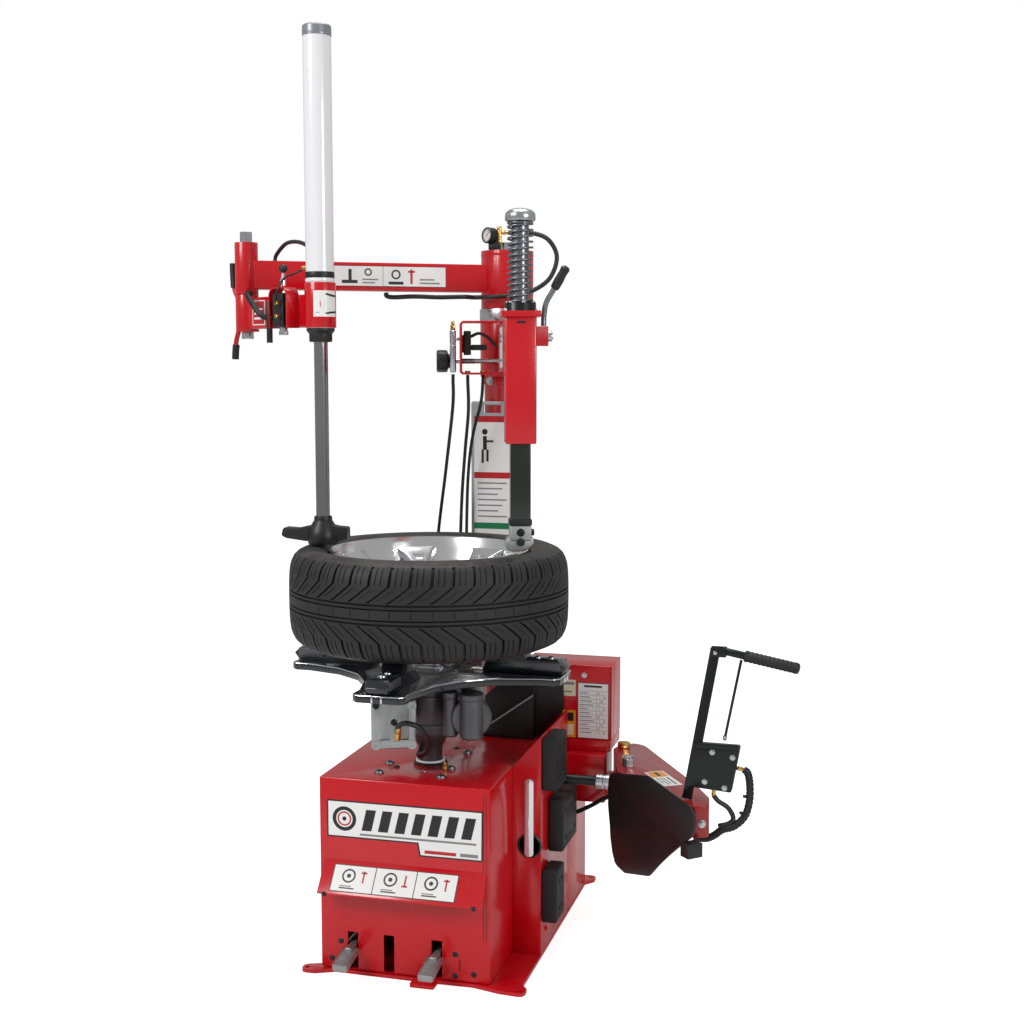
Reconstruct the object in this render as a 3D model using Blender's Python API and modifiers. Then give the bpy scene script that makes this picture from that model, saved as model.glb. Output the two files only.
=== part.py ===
"""Tyre changer machine: pedal cabinet, clamping turntable with a wheel on it, swing-arm mount head,
press arm on a rear column, and a bead-loosener arm on the right-hand side.

Metres, +Z up. The origin is on the floor under the turntable's axis and the front faces -Y.
"""
import bpy
import bmesh
from math import atan2, cos, hypot, pi, radians, sin
from mathutils import Matrix, Vector

# ---------------------------------------------------------------- driving dimensions
GAP = 0.0005                       # running gap between touching pieces
SHEET = 0.003                      # cabinet sheet metal

BASE_THICK = 0.008
CAB_LEFT, CAB_RIGHT = -0.2125, 0.2003
CAB_FRONT, CAB_BACK = -0.1825, 0.520
CAB_BOTTOM = BASE_THICK + GAP
DECK = 0.4662                      # top of the cabinet
SIDE_RIGHT = 0.2707                # right wall of the side housing
SIDE_FRONT, SIDE_BACK = 0.011, 0.2955
SIDE_TOP = 0.540                   # the side housing rises from the deck to this height
REAR_LEFT, REAR_RIGHT, REAR_FRONT, REAR_BACK, REAR_TOP = 0.150, 0.381, 0.300, 0.430, 0.658

TYRE_R, TYRE_LOW, TYRE_HIGH = 0.330, 0.764, 0.991
RIM_R = 0.235                      # outer radius of the rim flanges
STAR_TOP, STAR_THICK, STAR_R = 0.702, 0.018, 0.335
STAR_TURN = radians(-2)            # the star rests turned a little from square
JAW_SLIDE_R = 0.150                # inner end of a jaw carriage

COLUMN = Vector((0.072, 0.440, 0.0))
COLUMN_R = 0.060
COLLAR_Z = (1.525, 1.5595)
PIN_R, PIN_TOP = 0.0455, 1.7075

HEAD = Vector((0.235, -0.050, 0.0))          # axis of the vertical slide bar
HOUSING_Z = (1.238, 1.525)
HOUSING_W, BAR_W = 0.070, 0.046
ARM_Z = (1.395, 1.521)
HEAD_LOW, HEAD_HIGH = 0.9925, 1.0525         # mount head
SPRING_Z = (1.555, 1.7345)

POST = Vector((-0.505, 0.100, 0.0))          # hinge post at the end of the press arm
PRESS = Vector((-0.248, -0.050, 0.0))        # axis of the press cylinder
BEAM_Z = (1.602, 1.672)
CLAMP_Z = (1.502, 1.606)
PRESS_TOP = 2.165
FOOT_Z = (0.9935, 1.0600)
VALVE_ALONG = 0.204                          # the press valve's place along the link arm

PEDAL_X = (-0.1325, 0.0725)
PEDAL_AXIS_Y, PEDAL_AXIS_Z = -0.020, 0.075

BEAD_PIVOT = Vector((0.411, 0.324, 0.0))
BEAD_Z = (0.375, 0.447)
ROD_Y, ROD_Z = 0.160, 0.402                  # axis of the bead-loosener rod
HANDLE_Y = -0.080

ROUND = 32                                   # sides of a large round piece
SMALL = 16                                   # sides of a small one
WHEEL = 48                                   # sides of the tyre and the rim

# ---------------------------------------------------------------- scene and helpers
for old in list(bpy.data.objects):
    bpy.data.objects.remove(old, do_unlink=True)

PARTS = bpy.data.collections.new("tyre_changer")
CUTTERS = bpy.data.collections.new("cutters")
for group in (PARTS, CUTTERS):
    bpy.context.scene.collection.children.link(group)

MATERIALS = {}


def material(name, colour, roughness, metallic=0.0):
    """A Principled material, made once for each name."""
    if name not in MATERIALS:
        made = bpy.data.materials.new(name)
        made.use_nodes = True
        shader = made.node_tree.nodes["Principled BSDF"]
        shader.inputs["Base Color"].default_value = (*colour, 1.0)
        shader.inputs["Roughness"].default_value = roughness
        shader.inputs["Metallic"].default_value = metallic
        MATERIALS[name] = made
    return MATERIALS[name]


RED = material("red_powder_coat", (0.60, 0.005, 0.012), 0.28)
BLACK = material("black_plastic", (0.015, 0.015, 0.016), 0.45)
RUBBER = material("black_rubber", (0.020, 0.020, 0.020), 0.80)
STEEL = material("black_steel", (0.020, 0.022, 0.022), 0.35, 0.6)
ZINC = material("zinc_plate", (0.62, 0.63, 0.66), 0.28, 1.0)
CHROME = material("chrome", (0.80, 0.80, 0.82), 0.08, 1.0)
CAST = material("cast_aluminium", (0.52, 0.52, 0.52), 0.48, 1.0)
GREY = material("grey_paint", (0.30, 0.31, 0.32), 0.40, 0.2)
WHITE = material("white_paint", (0.85, 0.85, 0.86), 0.22)
BRASS = material("brass", (0.72, 0.45, 0.15), 0.28, 1.0)
TYRE = material("tyre_rubber", (0.022, 0.022, 0.023), 0.72)
ALLOY = material("polished_alloy", (0.82, 0.82, 0.83), 0.14, 1.0)


def add_object(name, mesh, finish, at=(0, 0, 0), turn=(0, 0, 0)):
    """Puts a mesh in the parts collection with its material, place and smooth shading."""
    made = bpy.data.objects.new(name, mesh)
    PARTS.objects.link(made)
    made.location = at
    made.rotation_euler = turn
    mesh.materials.clear()
    mesh.materials.append(finish)
    mesh.shade_smooth()
    mesh.set_sharp_from_angle(angle=radians(35))
    return made


def mesh_from(cage, name):
    bmesh.ops.recalc_face_normals(cage, faces=cage.faces)
    mesh = bpy.data.meshes.new(name)
    cage.to_mesh(mesh)
    cage.free()
    return mesh


def box(name, finish, low, high, at=(0, 0, 0), turn=(0, 0, 0), bevel=0.0):
    """A box between two corners, given in the object's own axes."""
    cage = bmesh.new()
    bmesh.ops.create_cube(cage, size=1.0)
    size = [h - l for l, h in zip(low, high)]
    middle = [(l + h) / 2 for l, h in zip(low, high)]
    bmesh.ops.scale(cage, vec=size, verts=cage.verts)
    bmesh.ops.translate(cage, vec=middle, verts=cage.verts)
    made = add_object(name, mesh_from(cage, name), finish, at, turn)
    if bevel:
        rounding = made.modifiers.new("edge", "BEVEL")
        rounding.width = bevel
        rounding.segments = 2
        rounding.limit_method = "ANGLE"
    return made


def rod(name, finish, start, end, radius, sides=SMALL, end_radius=None):
    """A straight round bar, or a cone, from one point to another."""
    start, end = Vector(start), Vector(end)
    cage = bmesh.new()
    bmesh.ops.create_cone(cage, cap_ends=True, segments=sides, radius1=radius,
                          radius2=radius if end_radius is None else end_radius,
                          depth=(end - start).length)
    made = add_object(name, mesh_from(cage, name), finish, (start + end) / 2)
    made.rotation_euler = (end - start).to_track_quat("Z", "Y").to_euler()
    return made


def turned(name, finish, profile, at=(0, 0, 0), turn=(0, 0, 0), sides=ROUND):
    """A turned solid: a closed (radius, height) profile, outer side first, swept about Z."""
    cage = bmesh.new()
    points = [cage.verts.new((radius, 0.0, height)) for radius, height in profile]
    on_axis = profile[0][0] < 1e-6 and profile[-1][0] < 1e-6
    for first, second in zip(points, points[1:] + ([] if on_axis else points[:1])):
        cage.edges.new((first, second))
    mesh = bpy.data.meshes.new(name)
    cage.to_mesh(mesh)
    cage.free()
    made = add_object(name, mesh, finish, at, turn)
    sweep = made.modifiers.new("sweep", "SCREW")
    sweep.steps = sides
    sweep.render_steps = sides
    sweep.use_merge_vertices = True
    sweep.merge_threshold = 0.00005
    sweep.use_smooth_shade = True
    return made


def ring(name, finish, inner, outer, low, high, at=(0, 0, 0), turn=(0, 0, 0), sides=ROUND):
    """A plain sleeve with square ends."""
    return turned(name, finish, [(outer, high), (outer, low), (inner, low), (inner, high)], at, turn, sides)


def curve_mesh(curve_object, name, finish):
    """Turns a curve into a welded mesh in the same place and removes the curve."""
    evaluated = curve_object.evaluated_get(bpy.context.evaluated_depsgraph_get())
    mesh = bpy.data.meshes.new_from_object(evaluated)
    place = curve_object.matrix_world.copy()
    bpy.data.objects.remove(curve_object, do_unlink=True)
    cage = bmesh.new()
    cage.from_mesh(mesh)
    bmesh.ops.remove_doubles(cage, verts=cage.verts, dist=0.00002)
    bpy.data.meshes.remove(mesh)
    made = add_object(name, mesh_from(cage, name), finish)
    made.matrix_world = place
    return made


def rounded(outline, radius, steps=3):
    """The outline with each corner replaced by an arc; radius is one value or one for each corner."""
    points = []
    count = len(outline)
    for index in range(count):
        corner = Vector(outline[index])
        r = radius[index] if isinstance(radius, (list, tuple)) else radius
        if r <= 0:
            points.append(tuple(corner))
            continue
        before = (Vector(outline[index - 1]) - corner).normalized()
        after = (Vector(outline[(index + 1) % count]) - corner).normalized()
        half = before.angle(after) / 2
        reach = r / max(0.05, abs(sin(half) / cos(half)))
        centre = corner + (before + after).normalized() * (r / sin(half))
        start = corner + before * reach - centre
        end = corner + after * reach - centre
        for step in range(steps + 1):
            mix = step / steps
            spoke = start.lerp(end, mix)
            points.append(tuple(centre + spoke.normalized() * r))
    return points


def plate(name, finish, outline, thickness, at=(0, 0, 0), turn=(0, 0, 0)):
    """A flat plate: a 2D outline extruded both ways along its own Z."""
    data = bpy.data.curves.new(name, "CURVE")
    data.dimensions = "2D"
    data.fill_mode = "BOTH"
    data.extrude = thickness / 2
    line = data.splines.new("POLY")
    line.points.add(len(outline) - 1)
    for point, (x, y) in zip(line.points, outline):
        point.co = (x, y, 0.0, 1.0)
    line.use_cyclic_u = True
    flat = bpy.data.objects.new(name + "_outline", data)
    PARTS.objects.link(flat)
    flat.location = at
    flat.rotation_euler = turn
    bpy.context.view_layer.update()
    return curve_mesh(flat, name, finish)


def smooth_route(stops, count):
    """Points of a Catmull-Rom curve through the stops, evenly shared between them."""
    stops = [Vector(stop) for stop in stops]
    padded = [2 * stops[0] - stops[1]] + stops + [2 * stops[-1] - stops[-2]]
    points = []
    spans = len(stops) - 1
    for index in range(count):
        place = index * spans / (count - 1)
        span = min(int(place), spans - 1)
        t = place - span
        a, b, c, d = padded[span:span + 4]
        points.append(0.5 * ((2 * b) + (c - a) * t + (2 * a - 5 * b + 4 * c - d) * t ** 2
                             + (3 * b - a - 3 * c + d) * t ** 3))
    return points


def tube(name, finish, points, radius, resolution=2):
    """A round wire or hose along the points, with closed ends."""
    data = bpy.data.curves.new(name, "CURVE")
    data.dimensions = "3D"
    data.bevel_depth = radius
    data.bevel_resolution = resolution
    data.use_fill_caps = True
    line = data.splines.new("POLY")
    line.points.add(len(points) - 1)
    for point, place in zip(line.points, points):
        point.co = (*place, 1.0)
    made = bpy.data.objects.new(name + "_line", data)
    PARTS.objects.link(made)
    bpy.context.view_layer.update()
    return curve_mesh(made, name, finish)


def tool(made):
    """Moves an object to the cutters, where it only serves a Boolean."""
    PARTS.objects.unlink(made)
    CUTTERS.objects.link(made)
    made.hide_render = True
    made.display_type = "WIRE"
    return made


def boolean(target, tools, operation):
    for number, other in enumerate(tools):
        step = target.modifiers.new(f"{operation.lower()}_{number}", "BOOLEAN")
        step.operation = operation
        step.solver = "EXACT"
        step.object = tool(other)
    return target


def unite(target, *tools):
    return boolean(target, tools, "UNION")


def cut(target, *tools):
    return boolean(target, tools, "DIFFERENCE")


def rig(name, axis_point, *nodes):
    """An empty on a joint's axis that carries the nodes of one moving body."""
    empty = bpy.data.objects.new(name, None)
    PARTS.objects.link(empty)
    empty.location = axis_point
    bpy.context.view_layer.update()
    for node in nodes:
        node.parent = empty
        node.matrix_parent_inverse = empty.matrix_world.inverted()
    return empty


def polar(radius, angle, height=0.0, centre=Vector((0, 0, 0))):
    return Vector((centre.x + radius * cos(angle), centre.y + radius * sin(angle), height))


def turn_between(start, end):
    """The turn about Z that points the local +X from one point to the other."""
    return atan2(end.y - start.y, end.x - start.x)


# ---------------------------------------------------------------- cabinet
def make_base():
    """Floor plate with a rounded lug at each corner and a tab at the front."""
    left, right, front, back = CAB_LEFT, SIDE_RIGHT, CAB_FRONT, CAB_BACK
    outline = rounded([
        (0.018, front - 0.006), (0.018, -0.221), (0.076, -0.221), (0.076, front - 0.006), (0.160, front - 0.004),
        (0.225, -0.203), (0.285, -0.208), (0.285, -0.176), (right, -0.160), (right, back), (0.291, 0.545),
        (0.291, 0.577), (0.240, 0.577), (0.200, back), (-0.170, back), (-0.215, 0.577), (-0.256, 0.577),
        (-0.256, 0.545), (left, back - 0.02), (left, -0.160), (-0.256, -0.178), (-0.256, -0.208), (-0.220, -0.207),
        (-0.175, front - 0.004)],
        [0.001, 0.004, 0.004, 0.001, 0.02, 0.02, 0.013, 0.012, 0.006, 0.006, 0.010, 0.012, 0.012, 0.012,
         0.012, 0.012, 0.012, 0.010, 0.006, 0.006, 0.012, 0.013, 0.015, 0.02], 2)
    floor = plate("base_plate", RED, outline, BASE_THICK, (0, 0, BASE_THICK / 2))
    holes = [rod("foot_hole", RED, (x, y, -0.01), (x, y, 0.03), 0.006, 12)
             for x, y in ((-0.243, -0.193), (0.272, -0.192), (-0.243, 0.562), (0.278, 0.562))]
    return cut(floor, *holes)


def make_cabinet_shell():
    outer = box("cabinet_shell", RED, (CAB_LEFT, CAB_FRONT, CAB_BOTTOM), (CAB_RIGHT, CAB_BACK, DECK),
                bevel=0.004)
    wing = box("shell_wing", RED, (CAB_RIGHT - 0.02, SIDE_BACK + GAP, CAB_BOTTOM), (SIDE_RIGHT, CAB_BACK, DECK),
               bevel=0.003)
    room = box("shell_room", RED, (CAB_LEFT + SHEET, CAB_FRONT + SHEET, -0.02),
               (CAB_RIGHT - SHEET, CAB_BACK - SHEET, DECK - SHEET))
    wing_room = box("wing_room", RED, (CAB_RIGHT - SHEET - 0.01, SIDE_BACK + 2 * SHEET, -0.02),
                    (SIDE_RIGHT - SHEET, CAB_BACK - SHEET, DECK - SHEET))
    slots = [box("pedal_slot", RED, (x, CAB_FRONT - 0.02, 0.012), (x + 0.0255, CAB_FRONT + 0.02, 0.101))
             for x in (-0.1452, -0.0565, 0.0598)]
    shaft_hole = rod("shaft_hole", RED, (0, 0, 0.40), (0, 0, 0.50), 0.031, ROUND)
    rod_hole = rod("rod_hole", RED, (0.150, ROD_Y, ROD_Z), (0.215, ROD_Y, ROD_Z), 0.018, SMALL)
    unite(outer, wing)
    return cut(outer, room, wing_room, shaft_hole, rod_hole, *slots)


def make_side_housing():
    """The box on the right that carries the rubber pads; its front panel rises to the right."""
    slope = [(CAB_RIGHT + GAP, CAB_BOTTOM), (SIDE_RIGHT, CAB_BOTTOM), (SIDE_RIGHT, SIDE_TOP),
             (SIDE_RIGHT - 0.004, SIDE_TOP), (CAB_RIGHT + GAP, DECK)]
    middle = (SIDE_FRONT + SIDE_BACK) / 2
    outer = plate("side_housing", RED, slope, SIDE_BACK - SIDE_FRONT, (0, middle, 0), (pi / 2, 0, 0))
    inside = [(CAB_RIGHT + GAP + SHEET, -0.02), (SIDE_RIGHT - SHEET, -0.02),
              (SIDE_RIGHT - SHEET, SIDE_TOP - 0.009), (CAB_RIGHT + GAP + SHEET, DECK - 0.002)]
    room = plate("side_room", RED, inside, SIDE_BACK - SIDE_FRONT - 2 * SHEET, (0, middle, 0), (pi / 2, 0, 0))
    lever_hole = rod("lever_hole", RED, (0.243, -0.01, 0.277), (0.243, 0.03, 0.277), 0.026, SMALL)
    rod_hole = rod("side_rod_hole", RED, (0.19, ROD_Y, ROD_Z), (0.29, ROD_Y, ROD_Z), 0.018, SMALL)
    return cut(outer, room, lever_hole, rod_hole)


def make_rear_housing():
    """Sheet-metal box for the air and electrical gear, open at the back."""
    outer = box("rear_housing", RED, (REAR_LEFT, REAR_FRONT, DECK + GAP), (REAR_RIGHT, REAR_BACK, REAR_TOP),
                bevel=0.002)
    room = box("rear_room", RED, (REAR_LEFT + SHEET, REAR_FRONT + SHEET, DECK + GAP + SHEET),
               (REAR_RIGHT - SHEET, REAR_BACK + 0.02, REAR_TOP - SHEET))
    return cut(outer, room)


def make_front_visor():
    """Sloped guard over the pedals, folded from one sheet with closed ends."""
    side = [(0.0, 0.272), (-0.052, 0.209), (-0.052, 0.2055), (0.0, 0.2055)]
    inside = [(0.001, 0.2675), (-0.0485, 0.2075), (-0.0485, 0.200), (0.001, 0.200)]
    middle = (-0.200 + 0.193) / 2
    width = 0.393
    place = (middle, CAB_FRONT - GAP, 0)
    outer = plate("front_visor", RED, side, width, place, (pi / 2, 0, pi / 2))
    room = plate("visor_room", RED, inside, width - 2 * SHEET, place, (pi / 2, 0, pi / 2))
    return cut(outer, room)


def make_tower_cover():
    """Black plastic tray behind the turntable: a tall back wall with a low pocket before it."""
    foot = DECK + GAP + 0.0015
    back = [(0.045, foot), (0.196, foot), (SIDE_RIGHT - 0.010, SIDE_TOP + 0.004),
            (0.2585, 0.625), (0.120, 0.625), (0.045, 0.560)]
    pocket = [(0.058, foot), (0.1890, foot), (0.1890, 0.581), (0.058, 0.487)]
    side = [(0.2615, foot), (0.2925, foot), (0.2925, 0.600), (0.2615, 0.578)]
    wall = plate("tower_cover", BLACK, back, 0.008, (0, 0.2945, 0), (pi / 2, 0, 0))
    front = plate("cover_pocket", BLACK, pocket, 0.004, (0, 0.262, 0), (pi / 2, 0, 0))
    floor = box("cover_floor", BLACK, (0.057, 0.2610, DECK + GAP), (0.1875, 0.2915, DECK + 0.005))
    end = plate("cover_end", BLACK, side, 0.004, (0.1860, 0, 0), (pi / 2, 0, pi / 2))
    return unite(wall, front, floor, end)


def make_pads():
    """Rubber buffers on the side housing that the wheel leans on."""
    pads = []
    for name, y_span, z_span in (("pad_upper", (0.012, 0.121), (0.412, 0.538)),
                                 ("pad_middle", (0.080, 0.236), (0.242, 0.372)),
                                 ("pad_lower", (0.012, 0.098), (0.089, 0.216))):
        low = (SIDE_RIGHT + GAP, y_span[0], z_span[0])
        high = (SIDE_RIGHT + 0.038, y_span[1], z_span[1])
        pad = box(name, RUBBER, low, high, bevel=0.005)
        holes = [rod("pad_hole", RUBBER, (SIDE_RIGHT + 0.026, y, z), (SIDE_RIGHT + 0.06, y, z), 0.006, 12)
                 for y in (y_span[0] + 0.03, y_span[1] - 0.03)
                 for z in (z_span[0] + 0.03, z_span[1] - 0.03)]
        pads.append(cut(pad, *holes))
    return pads


def make_drive():
    """Gearbox bolted under the deck, and the electric motor that drives it."""
    gearbox = box("gearbox", CAST, (-0.090, -0.080, 0.290), (0.090, 0.080, DECK - SHEET - GAP), bevel=0.006)
    flange = rod("gearbox_flange", CAST, (0, 0, 0.44), (0, 0, 0.4755), 0.0290, ROUND)
    bore = rod("gearbox_bore", CAST, (0, 0, 0.335), (0, 0, 0.50), 0.0206, ROUND)
    unite(gearbox, flange)
    cut(gearbox, bore)
    motor = rod("gear_motor", GREY, (-0.2085, 0, 0.365), (-0.090 - GAP, 0, 0.365), 0.062, ROUND)
    box_top = box("motor_terminals", GREY, (-0.185, -0.04, 0.41), (-0.115, 0.04, 0.445))
    return gearbox, unite(motor, box_top)


def make_bead_cylinder():
    body = rod("bead_cylinder", STEEL, (-0.150, ROD_Y, ROD_Z), (0.185, ROD_Y, ROD_Z), 0.058, ROUND)
    ends = [box("cylinder_end", STEEL, (x, ROD_Y - 0.060, ROD_Z - 0.060), (x + 0.016, ROD_Y + 0.060, ROD_Z + 0.060))
            for x in (-0.160, 0.175)]
    bore = rod("cylinder_bore", STEEL, (-0.100, ROD_Y, ROD_Z), (0.21, ROD_Y, ROD_Z), 0.0128, SMALL)
    unite(body, *ends)
    return cut(body, bore)


def make_hinge_bracket():
    """Bracket on the side housing with the upright pin that the bead-loosener arm turns on."""
    shelf = box("hinge_bracket", RED, (SIDE_RIGHT + GAP, 0.262, 0.315), (0.374, 0.360, 0.437), bevel=0.003)
    lug = box("bracket_lug", RED, (0.366, 0.290, 0.320), (0.448, 0.358, BEAD_Z[0] - 0.002))
    pin = rod("bracket_pin", RED, (BEAD_PIVOT.x, BEAD_PIVOT.y, 0.34), (BEAD_PIVOT.x, BEAD_PIVOT.y, 0.452), 0.012)
    head = rod("bracket_pin_head", RED, (BEAD_PIVOT.x, BEAD_PIVOT.y, BEAD_Z[1] + 0.001),
               (BEAD_PIVOT.x, BEAD_PIVOT.y, 0.459), 0.017, 6)
    return unite(shelf, lug, pin, head)


def make_column():
    """Rear column with its flange, the collar under the press arm and the pin that the arm turns on."""
    tower = rod("column", RED, COLUMN + Vector((0, 0, DECK + 0.004)), COLUMN + Vector((0, 0, COLLAR_Z[0] + 0.01)),
                COLUMN_R, ROUND)
    foot = box("column_foot", RED, (COLUMN.x - 0.078, COLUMN.y - 0.075, DECK + GAP),
               (COLUMN.x + 0.075, COLUMN.y + 0.075, DECK + 0.0125))
    stop = rod("column_stop", RED, COLUMN + Vector((0, 0, 1.366)), COLUMN + Vector((0, 0, 1.3845)), 0.0665, ROUND)
    collar = rod("column_collar", ZINC, COLUMN + Vector((0, 0, COLLAR_Z[0])), COLUMN + Vector((0, 0, COLLAR_Z[1])),
                 0.0720, ROUND)
    pin = rod("column_pin", ZINC, COLUMN + Vector((0, 0, 1.55)), COLUMN + Vector((0, 0, PIN_TOP)), PIN_R, ROUND)
    nut = rod("column_nut", ZINC, COLUMN + Vector((0, 0, PIN_TOP - 0.001)), COLUMN + Vector((0, 0, 1.730)), 0.030, 6)
    bore = rod("column_bore", RED, COLUMN + Vector((0, 0, 0.45)), COLUMN + Vector((0, 0, 1.355)), COLUMN_R - 0.006, ROUND)
    unite(tower, foot, stop, collar, pin, nut)
    return cut(tower, bore)


def make_sign_plate():
    """Grey plate hung on the front of the column."""
    front = COLUMN.y - COLUMN_R - GAP
    outline = rounded([(-0.070, 0.955), (0.070, 0.955), (0.070, 1.322), (-0.070, 1.322)], 0.006, 2)
    sign = plate("sign_plate", GREY, outline, 0.003, (COLUMN.x - 0.010, front - 0.0015, 0), (pi / 2, 0, 0))
    slot = box("sign_slot", GREY, (0.026, front - 0.02, 1.292), (0.072, front + 0.02, 1.312))
    return cut(sign, slot)


def make_tyre_lever():
    """Flat steel lever hung before the side housing."""
    side = SIDE_FRONT - GAP
    blade = box("tyre_lever", CHROME, (0.231, side - 0.006, 0.262), (0.254, side, 0.430), bevel=0.002)
    tip = rod("lever_tip", CHROME, (0.2425, side - 0.006, 0.430), (0.2425, side, 0.430), 0.0115, SMALL)
    heel = rod("lever_heel", CHROME, (0.2425, side - 0.006, 0.262), (0.2425, side, 0.262), 0.0115, SMALL)
    return unite(blade, tip, heel)


# ---------------------------------------------------------------- pedals
def make_pedals():
    shaft = rod("pedal_shaft", ZINC, (CAB_LEFT + SHEET + GAP, PEDAL_AXIS_Y, PEDAL_AXIS_Z),
                (CAB_RIGHT - SHEET - GAP, PEDAL_AXIS_Y, PEDAL_AXIS_Z), 0.008)
    pedals = []
    for name, x in zip(("pedal_left", "pedal_right"), PEDAL_X):
        lever = box(name, CAST, (x - 0.008, -0.215, 0.058), (x + 0.008, PEDAL_AXIS_Y - 0.012, 0.074))
        boss = rod("pedal_boss", CAST, (x - 0.012, PEDAL_AXIS_Y, PEDAL_AXIS_Z),
                   (x + 0.012, PEDAL_AXIS_Y, PEDAL_AXIS_Z), 0.018)
        pad = box("pedal_pad", CAST, (-0.018, -0.082, -0.010), (0.018, 0.0, 0.008), (x, -0.190, 0.062),
                  (radians(10), 0, 0), bevel=0.004)
        bore = rod("pedal_bore", CAST, (x - 0.03, PEDAL_AXIS_Y, PEDAL_AXIS_Z),
                   (x + 0.03, PEDAL_AXIS_Y, PEDAL_AXIS_Z), 0.0084)
        unite(lever, boss, pad)
        cut(lever, bore)
        rig(name + "_body", (x, PEDAL_AXIS_Y, PEDAL_AXIS_Z), lever)
        pedals.append(lever)
    return shaft, pedals


# ---------------------------------------------------------------- turntable and wheel
def star_outline(arms=4, tip_half=0.062, waist=0.090, bend=5):
    """One outline with broad arms and hollow flanks between them."""
    points = []
    for arm in range(arms):
        facing = STAR_TURN + arm * 2 * pi / arms
        along = Vector((cos(facing), sin(facing)))
        across = Vector((-sin(facing), cos(facing)))
        points.append(tuple(along * (STAR_R - 0.012) - across * tip_half))
        points.append(tuple(along * STAR_R - across * (tip_half - 0.012)))
        points.append(tuple(along * STAR_R + across * (tip_half - 0.012)))
        points.append(tuple(along * (STAR_R - 0.012) + across * tip_half))
        start = along * (STAR_R - 0.05) + across * tip_half
        middle = (along + across) * waist
        turned_across = Vector((-across.y, across.x))
        end = across * (STAR_R - 0.05) - turned_across * tip_half
        for step in range(bend):
            t = step / (bend - 1)
            points.append(tuple(start * (1 - t) ** 2 + middle * 2 * t * (1 - t) + end * t ** 2))
    return points


def make_turntable():
    star = plate("turntable_star", CHROME, star_outline(), STAR_THICK, (0, 0, STAR_TOP - STAR_THICK / 2))
    for arm in range(4):
        facing = STAR_TURN + arm * pi / 2
        cut(star, box("jaw_slot", CHROME, (0.104, -0.009, -0.05), (0.300, 0.009, 0.05), (0, 0, STAR_TOP), (0, 0, facing)))
    hub = turned("turntable_hub", CAST, [
        (0.000, STAR_TOP - STAR_THICK - GAP), (0.066, STAR_TOP - STAR_THICK - GAP), (0.066, 0.662), (0.045, 0.652),
        (0.045, 0.540), (0.036, 0.520), (0.028, 0.505), (0.028, 0.4765), (0.0200, 0.4765), (0.0200, 0.345),
        (0.000, 0.345)])
    return star, hub


CLAMP_TURN = radians(21)           # the clamp cylinders lie at this angle across the star
CLAMP_OFFSET, CLAMP_Z_MID = 0.090, 0.600


def clamp_point(side, along, height):
    """A point on a clamp cylinder's axis; side is -1 for the left one and +1 for the right one."""
    outward = Vector((cos(CLAMP_TURN), sin(CLAMP_TURN), 0)) * CLAMP_OFFSET * side
    forward = Vector((sin(CLAMP_TURN), -cos(CLAMP_TURN), 0)) * along * -side
    return outward + forward + Vector((0, 0, height))


def make_clamp_cylinders():
    """Two pneumatic cylinders under the star, on opposite sides of the hub and facing opposite ways."""
    made = []
    for name, side in (("clamp_cylinder_left", -1), ("clamp_cylinder_right", 1)):
        turn = (0, 0, CLAMP_TURN + (pi if side > 0 else 0))
        body = rod(name, CAST, clamp_point(side, 0.128, CLAMP_Z_MID), clamp_point(side, -0.112, CLAMP_Z_MID), 0.0415, ROUND)
        cap = box("cylinder_cap", CAST, (-0.052, -0.013, -0.064), (0.052, 0.013, 0.052),
                  clamp_point(side, 0.125, CLAMP_Z_MID), turn, bevel=0.008)
        head = rod("cylinder_head", CAST, clamp_point(side, -0.085, CLAMP_Z_MID), clamp_point(side, -0.118, CLAMP_Z_MID),
                   0.0475, ROUND)
        hanger = box("cylinder_hanger", CAST, (-0.018, -0.030, 0.0), (0.018, 0.030, STAR_TOP - STAR_THICK - GAP - 0.625),
                     clamp_point(side, 0.030, 0.625), turn)
        unite(body, cap, head, hanger)
        made.append(body)
    return made


def make_clamp_hose():
    stops = [(-0.022, -0.168, 0.578), (-0.018, -0.178, 0.596), (0.004, -0.184, 0.606), (0.030, -0.172, 0.594),
             (0.040, -0.146, 0.560), (0.030, -0.118, 0.526), (0.008, -0.096, 0.512), (-0.004, -0.066, 0.512),
             (-0.004, -0.042, 0.520)]
    return tube("clamp_hose", RUBBER, smooth_route(stops, 24), 0.006)


def make_jaws():
    """Four carriages that slide in the star's slots; each has a claw inside the lower rim flange."""
    jaws = []
    for number, name in enumerate(("jaw_right", "jaw_back", "jaw_left", "jaw_front")):
        facing = STAR_TURN + number * pi / 2
        side = rounded([(0.138, 0.0), (0.330, 0.0), (0.342, 0.016), (0.322, 0.034), (0.246, 0.034), (0.238, 0.056),
                        (0.216, 0.064), (0.206, 0.086), (0.188, 0.086), (0.182, 0.034), (0.150, 0.030)], 0.0, 2)
        jaw = plate(name, BLACK, side, 0.052, (0, 0, STAR_TOP + GAP), (pi / 2, 0, facing))
        tongue = box("jaw_tongue", BLACK, (0.150, -0.0082, STAR_TOP - STAR_THICK - 0.004), (0.288, 0.0082, STAR_TOP + 0.01),
                     (0, 0, 0), (0, 0, facing))
        unite(jaw, tongue)
        rig(name + "_body", (0, 0, 0), jaw)
        jaws.append(jaw)
    return jaws


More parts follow.
